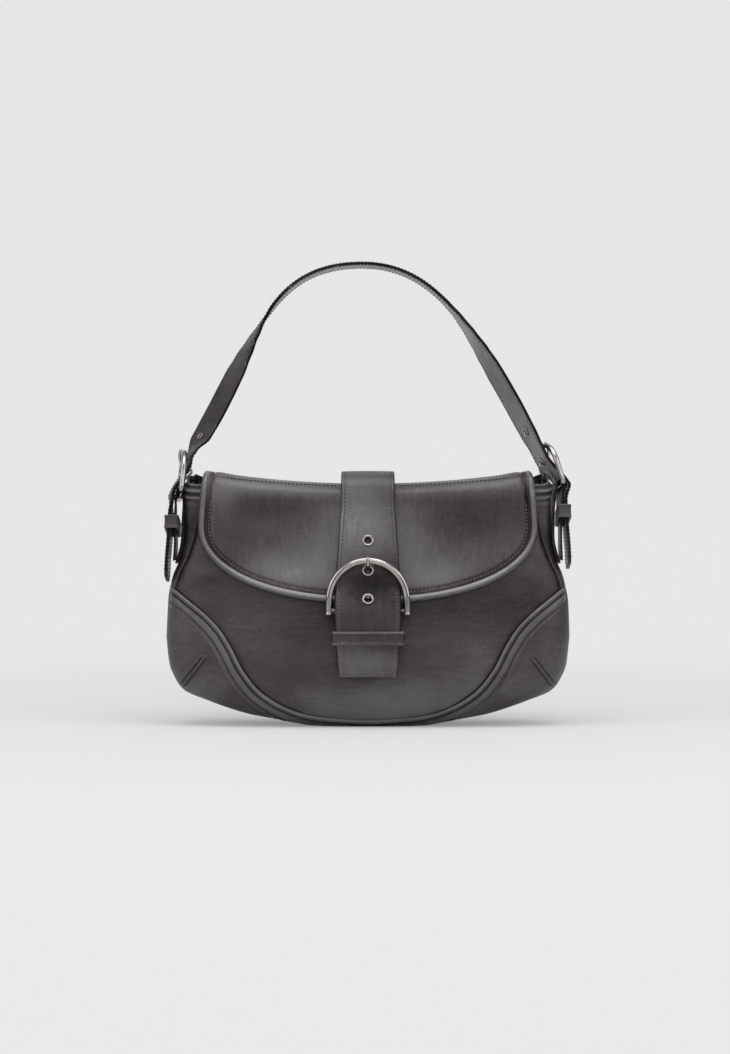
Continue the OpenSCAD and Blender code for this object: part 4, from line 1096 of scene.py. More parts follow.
def strapLine():
    t = strap["thick"] / 2
    pts = [Vector((0, strapY(z) - t, z)) for z in
           [35, 38, 42, 46, 50, 54, 58, 61, 64, 67, 70, 73, 76, 79, 82, 85, 88, 91, 94, 97, 100, 103, 106, 109,
            112, 115, 118, 121, 124, 127, 130, 134, 138, 142, 146]]
    y0 = strapY(flap["foldZ"]) - t
    ry = flap["hingeY"] - y0
    rz = strap["topZ"] - t - flap["foldZ"]
    sq = flap["square"]
    for a in range(0, 91, 9):
        c, s = max(0.0, math.cos(math.radians(a))), math.sin(math.radians(a))
        pts.append(Vector((0, y0 + ry * (1 - c ** sq), flap["foldZ"] + rz * s ** sq)))
    lastZ = flap["foldZ"] + 4
    lastY = depthAt(0, lastZ, 1) + flap["gap"] + flap["thick"] + 0.15 + t
    for a in range(81, 0, -12):
        c, s = max(0.0, math.cos(math.radians(a))), math.sin(math.radians(a))
        pts.append(Vector((0, lastY - (lastY - flap["hingeY"]) * (1 - c ** sq),
                           lastZ + (strap["topZ"] - t - lastZ) * s ** sq)))
    for z in (lastZ, 148, 142, 137, 132):
        pts.append(Vector((0, depthAt(0, z, 1) + flap["gap"] + flap["thick"] + 0.15 + t, z)))
    return smoothPath(pts, 300)


strapPoints = strapLine()
strapFrames = []
for i, p in enumerate(strapPoints):
    t = (strapPoints[min(i + 1, len(strapPoints) - 1)] - strapPoints[max(i - 1, 0)]).normalized()
    a = Vector((1, 0, 0))
    strapFrames.append((p, t, a, a.cross(t).normalized()))


def strapHalfAt(p):
    return strap["topHalf"] if p.z > flap["foldZ"] or p.y > 0 else curve(strapWidth, p.z)


def makeCentreStrap():
    count = len(strapPoints) - 1

    def section(u, v):
        i = round(v * count)
        half = strapHalfAt(strapPoints[i])
        return strapSection(half, strap["thick"], crown=0.25)(u, v)

    bm = loftMesh(strapFrames, 96, section)
    return finishMesh("centreStrapLeather", bm, strapLeather, "flap", ["centre_strap", "strap_anchor"],
                      ride=False)


def onStrap(z, out=0.0):  # place and turn at the strap's inner face
    lean = strapLean(z)
    return (Matrix.Translation(Vector((0, strapY(z), z))) @ Matrix.Rotation(math.pi / 2 + lean, 4, "X")
            @ Matrix.Translation(Vector((0, 0, out))))


def punch(piece, spots, radius, depth):  # cuts round holes through a piece
    bm = bmesh.new()
    for spot in spots:
        bmesh.ops.create_cone(bm, cap_ends=True, segments=32, radius1=radius * mm, radius2=radius * mm,
                              depth=depth * mm, matrix=spot)
    mesh = bpy.data.meshes.new("punch")
    bm.to_mesh(mesh)
    bm.free()
    tool = bpy.data.objects.new("punch", mesh)
    bpy.context.scene.collection.objects.link(tool)
    cut = piece.modifiers.new("holes", "BOOLEAN")
    cut.operation, cut.solver, cut.object = "DIFFERENCE", "EXACT", tool
    bpy.context.view_layer.update()
    done = bpy.data.meshes.new_from_object(piece.evaluated_get(bpy.context.evaluated_depsgraph_get()))
    piece.modifiers.clear()
    piece.data = done
    for f in done.polygons:
        f.use_smooth = True
    bpy.data.objects.remove(tool)


def scaled(m):  # a placement in millimetres as one in metres
    m = m.copy()
    m.translation *= mm
    return m


centreStrap = makeCentreStrap()
holeSpots = [scaled(onStrap(strap["eyeletLow"] + k * strap["eyeletStep"], strap["thick"] / 2))
             for k in range(3)]
punch(centreStrap, holeSpots, strap["hole"] + 0.4, 12)
# the tone paints a highlight on the upper strap below the fold, is darker inside the buckle's arch and a
# little paler at the tail
toneBy(centreStrap, lambda p: 0.9 * spot(p, 0, 142, 30, 26) - 1.0 * spot(p, 0, 92, 30, 20)
       + 0.5 * spot(p, 0, 44, 30, 9))
overHinge(centreStrap)
print("centre strap made")


# Eyelets: a rolled rim on both faces round a short tube

def eyeletMesh(spots, thick, outer, hole, play=0.3):
    bm = bmesh.new()
    profile = [(hole, -play - 0.3), (hole + 0.1, -play - 0.4), (outer - 0.7, -play - 0.35),
               (outer - 0.6, -play),
               (outer - 0.75, -play + 0.05), (hole + 0.6, -play + 0.05), (hole + 0.5, thick + play - 0.02),
               (outer - 0.5, thick + play), (outer - 0.1, thick + play + 0.12), (outer, thick + play + 0.38),
               (outer - 0.12, thick + play + 0.66), (outer - 0.45, thick + play + 0.88),
               (outer - 0.85, thick + play + 0.86), (outer - 1.2, thick + play + 0.66),
               (hole + 0.25, thick + play + 0.38), (hole + 0.03, thick + play + 0.1)]
    for spot in spots:
        ring = [bm.verts.new((x, 0, z)) for x, z in profile]
        edges = [bm.edges.new((a, b)) for a, b in zip(ring, ring[1:] + ring[:1])]
        bmesh.ops.spin(bm, geom=ring + edges, cent=(0, 0, 0), axis=(0, 0, 1), dvec=(0, 0, 0),
                       angle=2 * math.pi, steps=36, use_merge=True)
        verts = list({v for f in bm.faces if not f.tag for v in f.verts})
        bmesh.ops.transform(bm, matrix=spot @ Matrix.Scale(mm, 4), verts=verts)
        for f in bm.faces:
            f.tag = True
    bmesh.ops.remove_doubles(bm, verts=bm.verts[:], dist=1e-7)
    bmesh.ops.recalc_face_normals(bm, faces=bm.faces[:])
    return bm


centreSpots = [scaled(onStrap(strap["eyeletLow"] + k * strap["eyeletStep"])) for k in range(3)]
finishMesh("centreEyelets", eyeletMesh(centreSpots, strap["thick"], 4.0, strap["hole"]), gunmetal, "flap",
           ["centre_eyelets"])


# The buckle: a round wire arch with straight arms and small collars, and a bar behind the strap

def makeBuckle():
    bm = bmesh.new()
    r, wire = buckle["r"], buckle["wire"]
    made = bmesh.ops.create_circle(bm, cap_ends=False, segments=28, radius=wire)
    ring = made["verts"]
    bmesh.ops.rotate(bm, verts=ring, cent=(0, 0, 0), matrix=Matrix.Rotation(math.pi / 2, 3, "X"))
    bmesh.ops.translate(bm, vec=(r, 0, 0), verts=ring)
    start = [e for e in bm.edges]
    made = bmesh.ops.spin(bm, geom=ring + start, cent=(0, 0, 0), axis=(0, 0, 1), dvec=(0, 0, 0), angle=math.pi,
                          steps=64, use_merge=False)
    finish = [e for e in made["geom_last"] if isinstance(e, bmesh.types.BMEdge)]
    for rim in (start, finish):
        edges = rim
        for drop, grow in ((buckle["arm"] - 1.3, 1.0), (0.5, 1.0), (0.25, 1.14), (0.9, 1.0), (0.22, 0.9)):
            geom = bmesh.ops.extrude_edge_only(bm, edges=edges)["geom"]
            verts = [g for g in geom if isinstance(g, bmesh.types.BMVert)]
            edges = [g for g in geom if isinstance(g, bmesh.types.BMEdge)]
            bmesh.ops.translate(bm, vec=(0, -drop, 0), verts=verts)
            centre = sum((v.co for v in verts), Vector()) / len(verts)
            bmesh.ops.scale(bm, vec=(grow, 1, grow), verts=verts, space=Matrix.Translation(-centre))
        bmesh.ops.holes_fill(bm, edges=edges, sides=0)
    drop = buckle["barZ"] - buckle["z"]
    bar = Matrix.Translation((0, drop, 0)) @ Matrix.Rotation(math.pi / 2, 4, "Y")
    bmesh.ops.create_cone(bm, cap_ends=True, segments=20, radius1=buckle["barR"], radius2=buckle["barR"],
                          depth=2 * r, matrix=bar)
    bmesh.ops.recalc_face_normals(bm, faces=bm.faces[:])
    turn = Matrix.Translation(Vector((0, frameY, buckle["z"])) * mm) @ Matrix.Rotation(math.pi / 2, 4, "X")
    bmesh.ops.transform(bm, matrix=turn @ Matrix.Scale(mm, 4), verts=bm.verts[:])
    return finishMesh("buckleFrame", bm, gunmetal, "flap", ["buckle_frame"])


def taperTube(name, line, radii, material, bodyName, node, flat=1.0, upHint=Vector((0, -1, 0.2)),
              extra=None):
    path = smoothPath(line, 90)
    stations = frames(path, [upHint for _ in path])

    def section(u, v):
        k = curve(radii, v)
        a = 2 * math.pi * u
        return k * flat * math.cos(a), k * math.sin(a), 0

    bm = loftMesh(stations, 20, section)
    if extra:
        extra(bm)
    return finishMesh(name, bm, material, bodyName, node)


def collar(place, radius, inner, width):  # a short ring round a bar
    def add(bm):
        ring = [bm.verts.new(c) for c in ((inner, 0, -width / 2), (radius - 0.15, 0, -width / 2),
                                          (radius, 0, -width / 2 + 0.2), (radius, 0, width / 2 - 0.2),
                                          (radius - 0.15, 0, width / 2), (inner, 0, width / 2))]
        edges = [bm.edges.new((a, b)) for a, b in zip(ring, ring[1:] + ring[:1])]
        old = set(bm.faces)
        bmesh.ops.spin(bm, geom=ring + edges, cent=(0, 0, 0), axis=(0, 0, 1), dvec=(0, 0, 0),
                       angle=2 * math.pi,
                       steps=28, use_merge=True)
        verts = list({v for f in bm.faces if f not in old for v in f.verts})
        bmesh.ops.transform(bm, matrix=scaled(place) @ Matrix.Scale(mm, 4), verts=verts)
        bmesh.ops.recalc_face_normals(bm, faces=bm.faces[:])
    return add


def makeProng():
    prongZ = strap["eyeletLow"] + strap["eyeletStep"]
    lean = strapLean(prongZ)
    r, ride = buckle["prong"], 0.25

    def atHole(v, n):
        return Vector((0, strapY(prongZ) - n * math.cos(lean) + v * math.sin(lean),
                       prongZ + v * math.cos(lean) + n * math.sin(lean)))

    def under(z, lift):
        return Vector((0, -depthAt(0, z, -1) - lift - r - ride, z))

    rest = frameY - buckle["wire"] - r - 0.2
    top = buckle["z"] + buckle["r"]
    line = [Vector((0, frameY + 0.2, buckle["barZ"] + 2)), Vector((0, frameY + 0.8, buckle["barZ"] + 4.4)),
            under(87, flap["gap"] + 2 * flap["piping"] + 0.1), under(93, onFlap + 1.5),
            under(99, onFlap + 0.3),
            under(102.4, onFlap), atHole(-1.4, -1.88), atHole(-0.6, 0.2), atHole(0.1, 2.4), atHole(0.6, 4.2),
            Vector((0, rest + 1.7, top - 3.5)), Vector((0, rest + 0.4, top - 2)), Vector((0, rest, top + 0.4)),
            Vector((0, rest + 0.4, top + 2.8))]
    bar = Matrix.Translation((0, frameY, buckle["barZ"])) @ Matrix.Rotation(math.pi / 2, 4, "Y")
    return taperTube("buckleProng", line,
                     [(0, r), (0.6, r), (0.72, r), (0.82, 1.25), (0.95, 1.15), (0.985, 0.9), (1, 0.5)],
                     gunmetal, "buckle_prong", ["buckle_prong"],
                     extra=collar(bar, buckle["barR"] + 1.1, buckle["barR"] + 0.14, 2.0))


makeBuckle()
makeProng()


# The chape: sewn to the flap and folded round the bar

chape = dict(width=25, thick=1.1, slot=3.6)


def makeChape():
    t = chape["thick"]
    r = buckle["barR"] + 0.15 + t / 2

    def front(z, lift):
        return Vector((0, -depthAt(0, z, -1) - lift - 0.15 - t / 2, z))

    line = [front(101, onFlap), front(96, onFlap), front(91.5, onFlap + 0.2),
            front(88.5, flap["gap"] + 2 * flap["piping"]),
            front(85.5, flap["gap"] + 2 * flap["piping"])]
    line += [Vector((0, frameY - r * math.cos(math.radians(a)),
                     buckle["barZ"] - r * math.sin(math.radians(a))))
             for a in range(-40, 206, 20)]
    path = smoothPath(line, 90)
    n = len(path)
    bm = None
    for hand in (-1, 1):
        half = (chape["width"] - chape["slot"]) / 4
        shift = hand * (chape["width"] + chape["slot"]) / 4
        stations = []
        for i, p in enumerate(path):
            tan = (path[min(i + 1, n - 1)] - path[max(i - 1, 0)]).normalized()
            a = Vector((1, 0, 0))
            stations.append((p + Vector((shift, 0, 0)), tan, a, a.cross(tan).normalized()))
        part = loftMesh(stations, 24, strapSection(half, t, crown=0.0))
        if bm is None:
            bm = part
        else:
            mesh = bpy.data.meshes.new("joinChape")
            part.to_mesh(mesh)
            part.free()
            bm.from_mesh(mesh)
            bpy.data.meshes.remove(mesh)
    return finishMesh("buckleChape", bm, strapLeather, "flap", ["buckle_chape"])


makeChape()


# Keepers: a leather band closed round the strap, with raised edges

def keeperMesh(place, w, d, thick, high, ridge=0.35):
    corner = thick * 0.9
    loop = []
    hw, hd = w / 2 + thick / 2, d / 2 + thick / 2
    for sx, sy, start in ((1, 1, 0), (-1, 1, 90), (-1, -1, 180), (1, -1, 270)):
        for k in range(7):
            a = math.radians(start + 90 * k / 6)
            loop.append(Vector((sx * (hw - corner) + corner * math.cos(a),
                                sy * (hd - corner) + corner * math.sin(a), 0)))
    dense = []
    for a, b in zip(loop, loop[1:] + loop[:1]):
        steps = max(1, int((b - a).length / 1.2))
        dense += [a.lerp(b, k / steps) for k in range(steps)]
    n = len(dense)

    def placePoint(u, v):
        i = round(v * n) % n
        p = dense[i]
        t = (dense[(i + 1) % n] - dense[i - 1]).normalized()
        out = Vector((t.y, -t.x, 0))
        k = u * 2 % 2
        if k < 1:       # outer face, bottom to top, with a raised rounded edge at both sides
            z = mix(-high / 2, high / 2, k)
            edge = min(z + high / 2, high / 2 - z)
            o = thick / 2 + ridge * hump(edge, 1.0, 0.75) - 0.5 * max(0, 1 - edge / 0.5) ** 2
        else:
            z = mix(high / 2, -high / 2, k - 1)
            o = -thick / 2
        return p + out * o + Vector((0, 0, z))

    bm = gridMesh(44, n, placePoint, closed=True)
    bmesh.ops.recalc_face_normals(bm, faces=bm.faces[:])
    bmesh.ops.transform(bm, matrix=scaled(place), verts=bm.verts[:])
    return bm, [place @ p for p in dense], place


keeper = dict(z=61.5, high=9.5)


def makeStrapKeeper():
    z = keeper["z"]
    w = 2 * curve(strapWidth, z) + 1
    place = onStrap(z, strap["thick"] / 2) @ Matrix.Rotation(-math.pi / 2, 4, "X")
    bm, _, _ = keeperMesh(place, w, strap["thick"] + 0.6, keeperThick, keeper["high"], 0.8)
    return finishMesh("strapKeeper", bm, strapLeather, "strap_keeper", ["strap_keeper"])


makeStrapKeeper()
print("buckle, chape and keeper made")


# The shoulder strap and its side buckles

handle = dict(width=25, thick=2.2, archZ=327, shift=4, slopes=(61, 64), lean=14, twists=(33, 22), swingZ=130,
              spare=13, untwist=22)
sideBuckle = dict(r=14.8, high=30, wire=1.9, bars=((129.8, 158.5, 8, 4), (130, 164, 16, 17)),
                  tab=21, tabThick=1.4,
                  tabLow=111, tails=(99, 108), touch=0.15, ride=0.25, prong=0.9)


def leaned(p, share=1.0):
    a = -math.radians(handle["lean"]) * share
    z = p.z - handle["swingZ"]
    return Vector((p.x, p.y * math.cos(a) - z * math.sin(a),
                   handle["swingZ"] + p.y * math.sin(a) + z * math.cos(a)))


def sideOf(hand):
    return sideBuckle["bars"][0 if hand < 0 else 1]


def onSide(hand, u, v):
    s = sideOf(hand)
    t = math.radians(s[3])
    return s[0] - u * math.sin(t) + v * math.cos(t), s[1] + u * math.cos(t) + v * math.sin(t)


overBar = sideBuckle["wire"] + 0.15 + sideBuckle["tabThick"] + 0.15 + handle["thick"] / 2 + 0.65
inArch = sideBuckle["wire"] + sideBuckle["ride"] + handle["thick"] / 2


def strapEnd(hand):
    low = sideBuckle["tails"][0 if hand < 0 else 1]
    bar = onSide(hand, 0, overBar)
    return [(bar[0] + 2.6, low), (bar[0] + 2.1, mix(low, bar[1], 0.25)), (bar[0] + 1.2, mix(low, bar[1], 0.5)),
            (bar[0] + 0.7, mix(low, bar[1], 0.75)), onSide(hand, -3, overBar), onSide(hand, 1.5, overBar),
            onSide(hand, 8, 2.4), onSide(hand, 14, -0.7), onSide(hand, 19.5, -inArch),
            onSide(hand, 24, -inArch - 0.9), onSide(hand, sideBuckle["high"], -inArch - 2)]


def sideTurn(hand, z):
    s = sideOf(hand)
    return math.radians(s[2]) * ease((z - s[1] + 13) / 11)


def turned(hand, q):
    out = q[0] - sideOf(hand)[0]
    a = sideTurn(hand, q[1])
    return Vector((hand * (q[0] - out * (1 - math.cos(a))), hand * out * math.sin(a), q[1]))


def legPoints(hand):
    start = onSide(hand, sideBuckle["high"] + handle["spare"], -11 if hand < 0 else -8)
    slope = math.radians(handle["slopes"][0 if hand < 0 else 1])
    reach, flat = (78, 68) if hand < 0 else (72, 58)
    x0 = hand * start[0]
    b = [(x0, start[1]), (x0 - hand * reach * math.cos(slope), start[1] + reach * math.sin(slope)),
         (-handle["shift"] + hand * flat, handle["archZ"]), (-handle["shift"], handle["archZ"])]
    first = turned(hand, (hand * b[0][0], b[0][1]))
    out = []
    for i in range(13):
        t = i / 13
        w = ((1 - t) ** 3, 3 * (1 - t) ** 2 * t, 3 * (1 - t) * t * t, t ** 3)
        x = sum(k * q[0] for k, q in zip(w, b))
        z = sum(k * q[1] for k, q in zip(w, b))
        fade = 1 - ease(i / 5)
        out.append(Vector((x + (first.x - b[0][0]) * fade, first.y * fade, z)))
    return out


def twistAt(q):
    hand = -1 if q.x < -handle["shift"] else 1
    low = sideOf(hand)[1] + 24
    up = ease((q.z - low) / handle["untwist"])
    over = 1 - ease((q.z - mix(low, handle["archZ"], 0.38)) / (0.45 * (handle["archZ"] - low)))
    leg = math.radians(handle["twists"][0 if hand < 0 else 1])
    return -hand * mix(sideTurn(hand, q.z), leg, up) * over


handlePath = ([turned(-1, q) for q in strapEnd(-1)] + legPoints(-1)
              + [Vector((-handle["shift"], 0, handle["archZ"]))]
              + legPoints(1)[::-1] + [turned(1, q) for q in strapEnd(1)][::-1])
leanedPath = [leaned(q) for q in handlePath]


def acrossAt(i):
    t = (leanedPath[min(i + 1, len(leanedPath) - 1)] - leanedPath[max(i - 1, 0)]).normalized()
    flat = (Vector((0, 1, 0)) - t * t.y).normalized()
    a = twistAt(handlePath[i])
    return math.cos(a) * flat - math.sin(a) * flat.cross(t)


def dress(points, acrosses, count):  # evenly spaced stations along a path whose across directions are given
    fine = smoothPath(points, count)
    rough = [0.0]
    for a, b in zip(points, points[1:]):
        rough.append(rough[-1] + (b - a).length)
    total = rough[-1]
    out = []
    for i, p in enumerate(fine):
        want = total * i / count
        k = 0
        while k < len(points) - 2 and rough[k + 1] < want:
            k += 1
        f = ease((want - rough[k]) / (rough[k + 1] - rough[k])) if rough[k + 1] > rough[k] else 0
        a = acrosses[k].lerp(acrosses[k + 1], min(1, max(0, f)))
        t = (fine[min(i + 1, count)] - fine[max(i - 1, 0)]).normalized()
        a = (a - t * a.dot(t)).normalized()
        out.append((p, t, a, a.cross(t).normalized()))
    return out


handleStations = dress(leanedPath, [acrossAt(i) for i in range(len(leanedPath))], 520)


def handleHalf(v):  # the two ends are rounded off
    length = pathLength(leanedPath)
    d = min(v, 1 - v) * length
    return handle["width"] / 2 - (4.0 * (1 - math.sqrt(max(0, 1 - (1 - min(1, d / 5)) ** 2))))


def makeHandle():
    bm = loftMesh(handleStations, 72, strapSection(handleHalf, handle["thick"], inside=-0.45, outside=1.5))
    return finishMesh("shoulderStrapLeather", bm, strapLeather, "handle", ["shoulder_strap"])


def handleSpot(index):
    a = acrossAt(index).normalized()
    t = (leanedPath[index + 1] - leanedPath[index - 1]).normalized()
    n = t.cross(a).normalized()
    p = leanedPath[index]
    return Matrix(((a.x, t.x, -n.x, p.x), (a.y, t.y, -n.y, p.y), (a.z, t.z, -n.z, p.z), (0, 0, 0, 1)))


holeStations = [8, 11, len(handlePath) - 12, len(handlePath) - 9]
shoulderStrap = makeHandle()
punch(shoulderStrap, [scaled(handleSpot(i)) for i in holeStations], 2.3, 9)
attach(shoulderStrap, "handle")
strapSpots = [scaled(handleSpot(i) @ Matrix.Translation((0, 0, -handle["thick"] / 2))) for i in holeStations]
finishMesh("strapEyelets", eyeletMesh(strapSpots, handle["thick"], 3.3, 1.9), gunmetal, "handle",
           ["strap_eyelets"])
print("shoulder strap made")


def sidePlane(hand):  # Y up from the bar and Z outwards, in the buckle's own plane
    s = sideOf(hand)
    lean = (Matrix.Translation((0, 0, handle["swingZ"]))
            @ Matrix.Rotation(-math.radians(handle["lean"]), 4, "X")
            @ Matrix.Translation((0, 0, -handle["swingZ"])))
    return (lean @ Matrix.Translation((hand * s[0], 0, s[1])) @ Matrix.Rotation(math.radians(s[2]), 4, "Z")
            @ Matrix.Rotation(-hand * math.radians(s[3]), 4, "Y")
            @ Matrix.Rotation(math.radians(90 if hand > 0 else -90), 4, "Z")
            @ Matrix.Rotation(math.pi / 2, 4, "X"))


def makeSideFrame(hand, name, node):
    r, wire, high = sideBuckle["r"], sideBuckle["wire"], sideBuckle["high"]
    bm = bmesh.new()
    ring = bmesh.ops.create_circle(bm, cap_ends=False, segments=22, radius=wire)["verts"]
    bmesh.ops.rotate(bm, verts=ring, cent=(0, 0, 0), matrix=Matrix.Rotation(math.pi / 2, 3, "X"))
    bmesh.ops.translate(bm, vec=(r, high - r, 0), verts=ring)
    start = bm.edges[:]
    made = bmesh.ops.spin(bm, geom=ring + start, cent=(0, high - r, 0), axis=(0, 0, 1), dvec=(0, 0, 0),
                          angle=math.pi, steps=48, use_merge=False)
    finish = [e for e in made["geom_last"] if isinstance(e, bmesh.types.BMEdge)]
    corner = 2.6
    for rim, hand2 in ((start, 1), (finish, -1)):
        geom = bmesh.ops.extrude_edge_only(bm, edges=rim)["geom"]
        verts = [g for g in geom if isinstance(g, bmesh.types.BMVert)]
        bmesh.ops.translate(bm, vec=(0, -(high - r - corner), 0), verts=verts)
        edges = [g for g in geom if isinstance(g, bmesh.types.BMEdge)]
        made = bmesh.ops.spin(bm, geom=verts + edges, cent=(hand2 * (r - corner), corner, 0), axis=(0, 0, 1),
                              dvec=(0, 0, 0), angle=-hand2 * math.pi / 2, steps=8, use_merge=False)
        edges = [g for g in made["geom_last"] if isinstance(g, bmesh.types.BMEdge)]
        geom = bmesh.ops.extrude_edge_only(bm, edges=edges)["geom"]
        verts = [g for g in geom if isinstance(g, bmesh.types.BMVert)]
        bmesh.ops.translate(bm, vec=(-hand2 * (r - corner), 0, 0), verts=verts)
    bmesh.ops.remove_doubles(bm, verts=bm.verts[:], dist=1e-3)
    bmesh.ops.recalc_face_normals(bm, faces=bm.faces[:])
    bmesh.ops.transform(bm, matrix=scaled(sidePlane(hand)) @ Matrix.Scale(mm, 4), verts=bm.verts[:])
    return finishMesh(name, bm, gunmetal, "handle", [node])


def makeSideProng(hand, name, node):
    rest = sideBuckle["wire"] + sideBuckle["prong"] + 0.15
    flat = [(2.4, 0.2), (7, 0), (12, -2.6), (15.6, -5.8), (17.7, -6.4), (19.1, -5.2), (20, -2.8), (20.8, -0.7),
            (22.2, 1.1), (25.5, rest - 0.3), (sideBuckle["high"], rest),
            (sideBuckle["high"] + 2.8, rest - 0.7)]
    place = sidePlane(hand)
    line = [place @ Vector((0, u, v)) for u, v in flat]
    out = (place.to_3x3() @ Vector((0, 0, 1))).normalized()
    bar = place @ Matrix.Rotation(math.pi / 2, 4, "Y")
    r = sideBuckle["prong"]
    return taperTube(name, line, [(0, r), (0.6, r), (0.8, r), (0.94, r), (0.98, r * 0.8), (1, r * 0.5)],
                     gunmetal, node, [node], upHint=out,
                     extra=collar(bar, sideBuckle["wire"] + 1, sideBuckle["wire"] + 0.1, 1.8))


def tabFlat(hand):
    s = sideOf(hand)
    low, t = sideBuckle["tabLow"], sideBuckle["tabThick"]
    r = sideBuckle["wire"] + 0.15 + t / 2
    base = halfWidth(low) + 0.3 + t / 2
    span = s[1] - 8 - low
    pts = [(base, low), (max(halfWidth(low + 0.3 * span) + 1.4, s[0] - r - 0.2), low + 0.3 * span),
           (s[0] - r - 0.1, low + 0.65 * span), (s[0] - r, s[1] - 8)]
    pts += [(s[0] + r * math.cos(math.radians(a)), s[1] + r * math.sin(math.radians(a)))
            for a in range(180, -1, -20)]
    pts += [(s[0] + r, s[1] - 8), (s[0] + r - 0.3, low + 0.65 * span), (s[0] + r - 0.5, low + 0.3 * span),
            (base + t + 0.15, low + 2)]
    return pts


def makeTab(hand, name, node):
    s = sideOf(hand)
    flat = tabFlat(hand)
    points, across = [], []
    for q in flat:
        share = ease((q[1] - sideBuckle["tabLow"]) / (s[1] - 10 - sideBuckle["tabLow"]))
        points.append(leaned(turned(hand, q), share))
        a = sideTurn(hand, q[1])
        across.append(leaned(Vector((-math.sin(a), math.cos(a), handle["swingZ"])), share)
                      - Vector((0, 0, handle["swingZ"])))
    stations = dress(points, across, 150)
    bm = loftMesh(stations, 40, strapSection(sideBuckle["tab"] / 2, sideBuckle["tabThick"], crown=0.0))
    piece = finishMesh(name, bm, strapLeather, "bag", [node])
    # the slot that lets the prong through
    bm = bmesh.new()
    bmesh.ops.create_cube(bm, size=1)
    bmesh.ops.scale(bm, vec=(3.0, 11, 16), verts=bm.verts[:])
    bmesh.ops.translate(bm, vec=(0, 0.5, 0), verts=bm.verts[:])
    bmesh.ops.transform(bm, matrix=scaled(sidePlane(hand)) @ Matrix.Scale(mm, 4), verts=bm.verts[:])
    mesh = bpy.data.meshes.new("slot")
    bm.to_mesh(mesh)
    bm.free()
    tool = bpy.data.objects.new("slot", mesh)
    bpy.context.scene.collection.objects.link(tool)
    cut = piece.modifiers.new("slot", "BOOLEAN")
    cut.operation, cut.solver, cut.object = "DIFFERENCE", "EXACT", tool
    bpy.context.view_layer.update()
    done = bpy.data.meshes.new_from_object(piece.evaluated_get(bpy.context.evaluated_depsgraph_get()))
    piece.modifiers.clear()
    piece.data = done
    bpy.data.objects.remove(tool)
    piece.parent = None
    piece.matrix_world = Matrix.Identity(4)
    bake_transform(piece)
    return piece


def makeSideKeeper(hand, name, node):
    e = strapEnd(hand)
    mid = ((e[2][0] + e[3][0]) / 2, (e[2][1] + e[3][1]) / 2)
    inner = sideOf(hand)[0] + sideBuckle["wire"] + 0.15 - 0.9
    outer = mid[0] + handle["thick"] / 2 + 0.6
    lean = (Matrix.Translation((0, 0, handle["swingZ"]))
            @ Matrix.Rotation(-math.radians(handle["lean"]), 4, "X")
            @ Matrix.Translation((0, 0, -handle["swingZ"])))
    place = lean @ Matrix.Translation((hand * (inner + outer) / 2, 0, mid[1]))
    bm, _, _ = keeperMesh(place, outer - inner, handle["width"] + 0.8, keeperThick, 9.5, 0.35)
    return finishMesh(name, bm, strapLeather, node, [node])


for hand, word, tail in ((-1, "Left", "left"), (1, "Right", "right")):
    makeSideFrame(hand, "sideFrame" + word, "side_frame_" + tail)
    makeSideProng(hand, "sideProng" + word, "side_prong_" + tail)
    makeTab(hand, "sideTab" + word, "side_tab_" + tail)
    makeSideKeeper(hand, "sideKeeper" + word, "side_keeper_" + tail)
print("side buckles made")


# Stitching

thread = dict(pitch=2.6, length=1.8, r=0.4, sink=0.04, lean=0.14)


def onFlapLine(e, lift=0.0):  # a stitch row round the flap, drawn in by e, and up over both ends of the fold
    flat = borderLine(e, 200)
    pts = [bodyPoint(x, z, -1, flap["gap"] + flapStack + lift) for x, z in flat]
    ups = [(bodyPoint(x, z, -1, 1) - bodyPoint(x, z, -1, 0)) for x, z in flat]
    ends = [[foldPoint(hand * (flapSide(168) - e), 6 * k, lift) for k in range(1, 11)] for hand in (-1, 1)]
    return ends[0][::-1] + pts + ends[1], [Vector((0, -0.7, 0.7))] * 10 + ups + [Vector((0, -0.7, 0.7))] * 10


def seamStitch(side, e, lift):
    flat = [q for q in offsetFlat(seamPath(side, 300), -e) if abs(q[0]) < 0.96 * halfWidth(max(q[1], 0))]
    pts = [bodyPoint(x, max(z, 0), side, lift) for x, z in flat]
    ups = [bodyPoint(x, max(z, 0), side, 1) - bodyPoint(x, max(z, 0), side, 0) for x, z in flat]
    return pts, ups


def strapRow(inset, hand, lowZ, highZ):
    pts, ups = [], []
    for p, t, a, n in strapFrames:
        if lowZ <= p.z <= highZ and p.y < 8:
            pts.append(p + a * hand * (strapHalfAt(p) - inset) - n * -1 * (strap["thick"] / 2 + 0.05))
            ups.append(n)
    return pts, ups


def handleRow(hand, face, low=0.0, high=1.0):
    pts, ups = [], []
    n0 = len(handleStations) - 1
    for i, (p, t, a, n) in enumerate(handleStations):
        if low <= i / n0 <= high:
            pts.append(p + a * hand * (handleHalf(i / n0) - 2.1) + n * face * (handle["thick"] / 2 + 0.02))
            ups.append(n * face)
    return pts, ups


def dartRow(hand, side):
    dx, dz = (dart["outer"][0] - dart["inner"][0]) * hand, dart["outer"][1] - dart["inner"][1]
    n = math.hypot(dx, dz)
    pts, ups = [], []
    for k in range(21):
        x = dart["inner"][0] * hand + dx * (k / 20 * 0.9 + 0.04) - dz / n * dart["stitchAt"] * -hand
        z = dart["inner"][1] + dz * (k / 20 * 0.9 + 0.04) + dx / n * dart["stitchAt"] * -hand
        x = math.copysign(min(abs(x), 0.97 * halfWidth(z)), hand)
        pts.append(bodyPoint(x, z, side, 0.75))
        ups.append(bodyPoint(x, z, side, 1) - bodyPoint(x, z, side, 0))
    return pts, ups


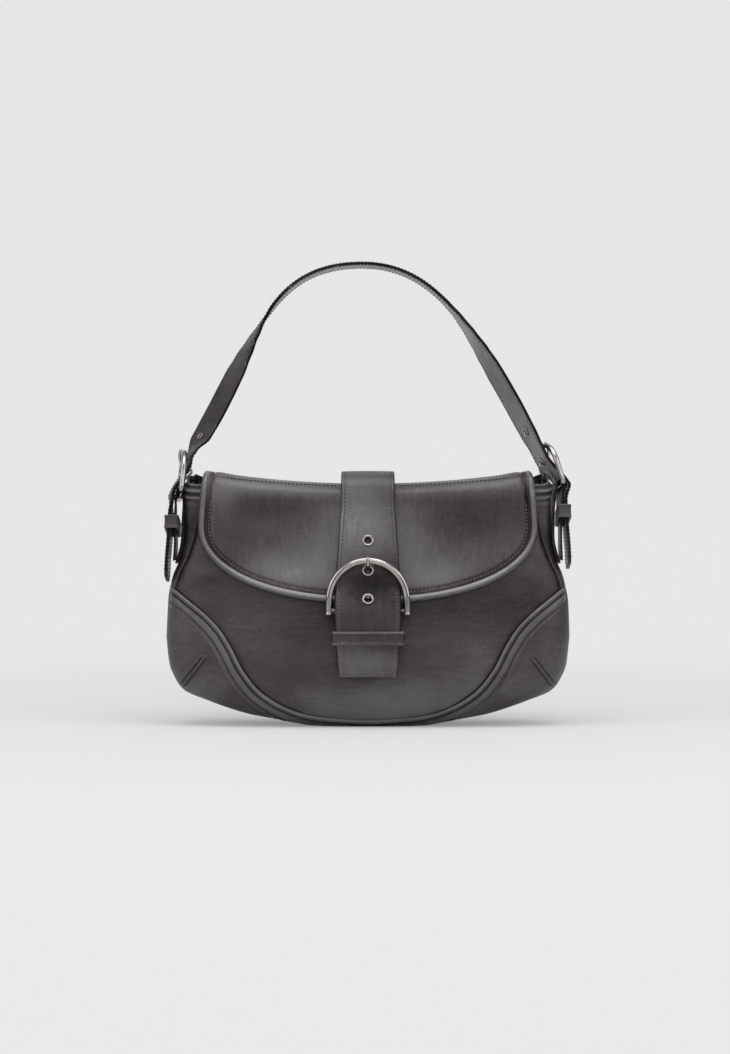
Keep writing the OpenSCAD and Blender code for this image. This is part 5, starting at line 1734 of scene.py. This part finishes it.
def makeStitches():
    rows = [onFlapLine(flap["stitchAt"], -0.6)]
    finishMesh("flapEdgeStitches", stitchMesh(rows, dict(thread, r=0.45, sink=0.1)), greyThread, "flap",
               ())
    rows = []
    top = []
    for k in range(121):
        x = mix(-104, 104, k / 120)
        if abs(x) > strap["topHalf"] + 1:
            top.append(x)
    for part in ([x for x in top if x < 0], [x for x in top if x > 0]):
        pts = [foldPoint(x, 50, 0.15) for x in part]
        rows.append((pts, [Vector((0, -0.6, 0.8)) for _ in part]))
    finishMesh("flapTopStitches", stitchMesh(rows, dict(thread, r=0.55, sink=0.1)), darkThread, "flap",
               ())
    rows = [seamStitch(side, e, 0.12) for side in (-1, 1) for e in (band["stitchAt"], band["edgeStitchAt"])]
    rows += [dartRow(hand, side) for hand in (-1, 1) for side in (-1, 1)]
    finishMesh("seamStitches", stitchMesh(rows, dict(thread, r=0.5)), darkThread, "bag", ())
    rows = [strapRow(2.6, hand, 92, 171.5) for hand in (-1, 1)]
    finishMesh("strapStitchesDark", stitchMesh(rows, dict(thread, r=0.38)), darkThread, "flap", ())
    rows = [strapRow(2.9, hand, 38.4, 92) for hand in (-1, 1)]
    end = [q for q in strapFrames if q[0].y < 0 and 37.6 <= q[0].z <= 39][0]
    half = strapHalfAt(end[0]) - 3.4
    rows.append(([end[0] + end[2] * mix(-half, half, k / 10) + end[3] * (strap["thick"] / 2 + 0.1)
                  for k in range(11)],
                 [end[3]] * 11))
    finishMesh("strapStitchesPale", stitchMesh(rows, thread), greyThread, "flap", ())
    rows = [handleRow(hand, face, 0.004, 0.996) for hand in (-1, 1) for face in (-1, 1)]
    finishMesh("handleStitches", stitchMesh(rows, thread), darkThread, "handle", ())
    place = onStrap(keeper["z"], strap["thick"])
    half = curve(strapWidth, keeper["z"]) - 0.6
    pts = [place @ Vector((mix(-half, half, k / 20), -2.6, keeperThick + 0.35)) for k in range(21)]
    up = (place.to_3x3() @ Vector((0, 0, 1))).normalized()
    finishMesh("keeperStitches", stitchMesh([(pts, [up] * 21)], thread), greyThread, "strap_keeper", ())


makeStitches()
print("stitches made")

for name in ("snap_socket", "snap_stud"):
    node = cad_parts[name]
    node.data.materials.clear()
    node.data.materials.append(gunmetal)
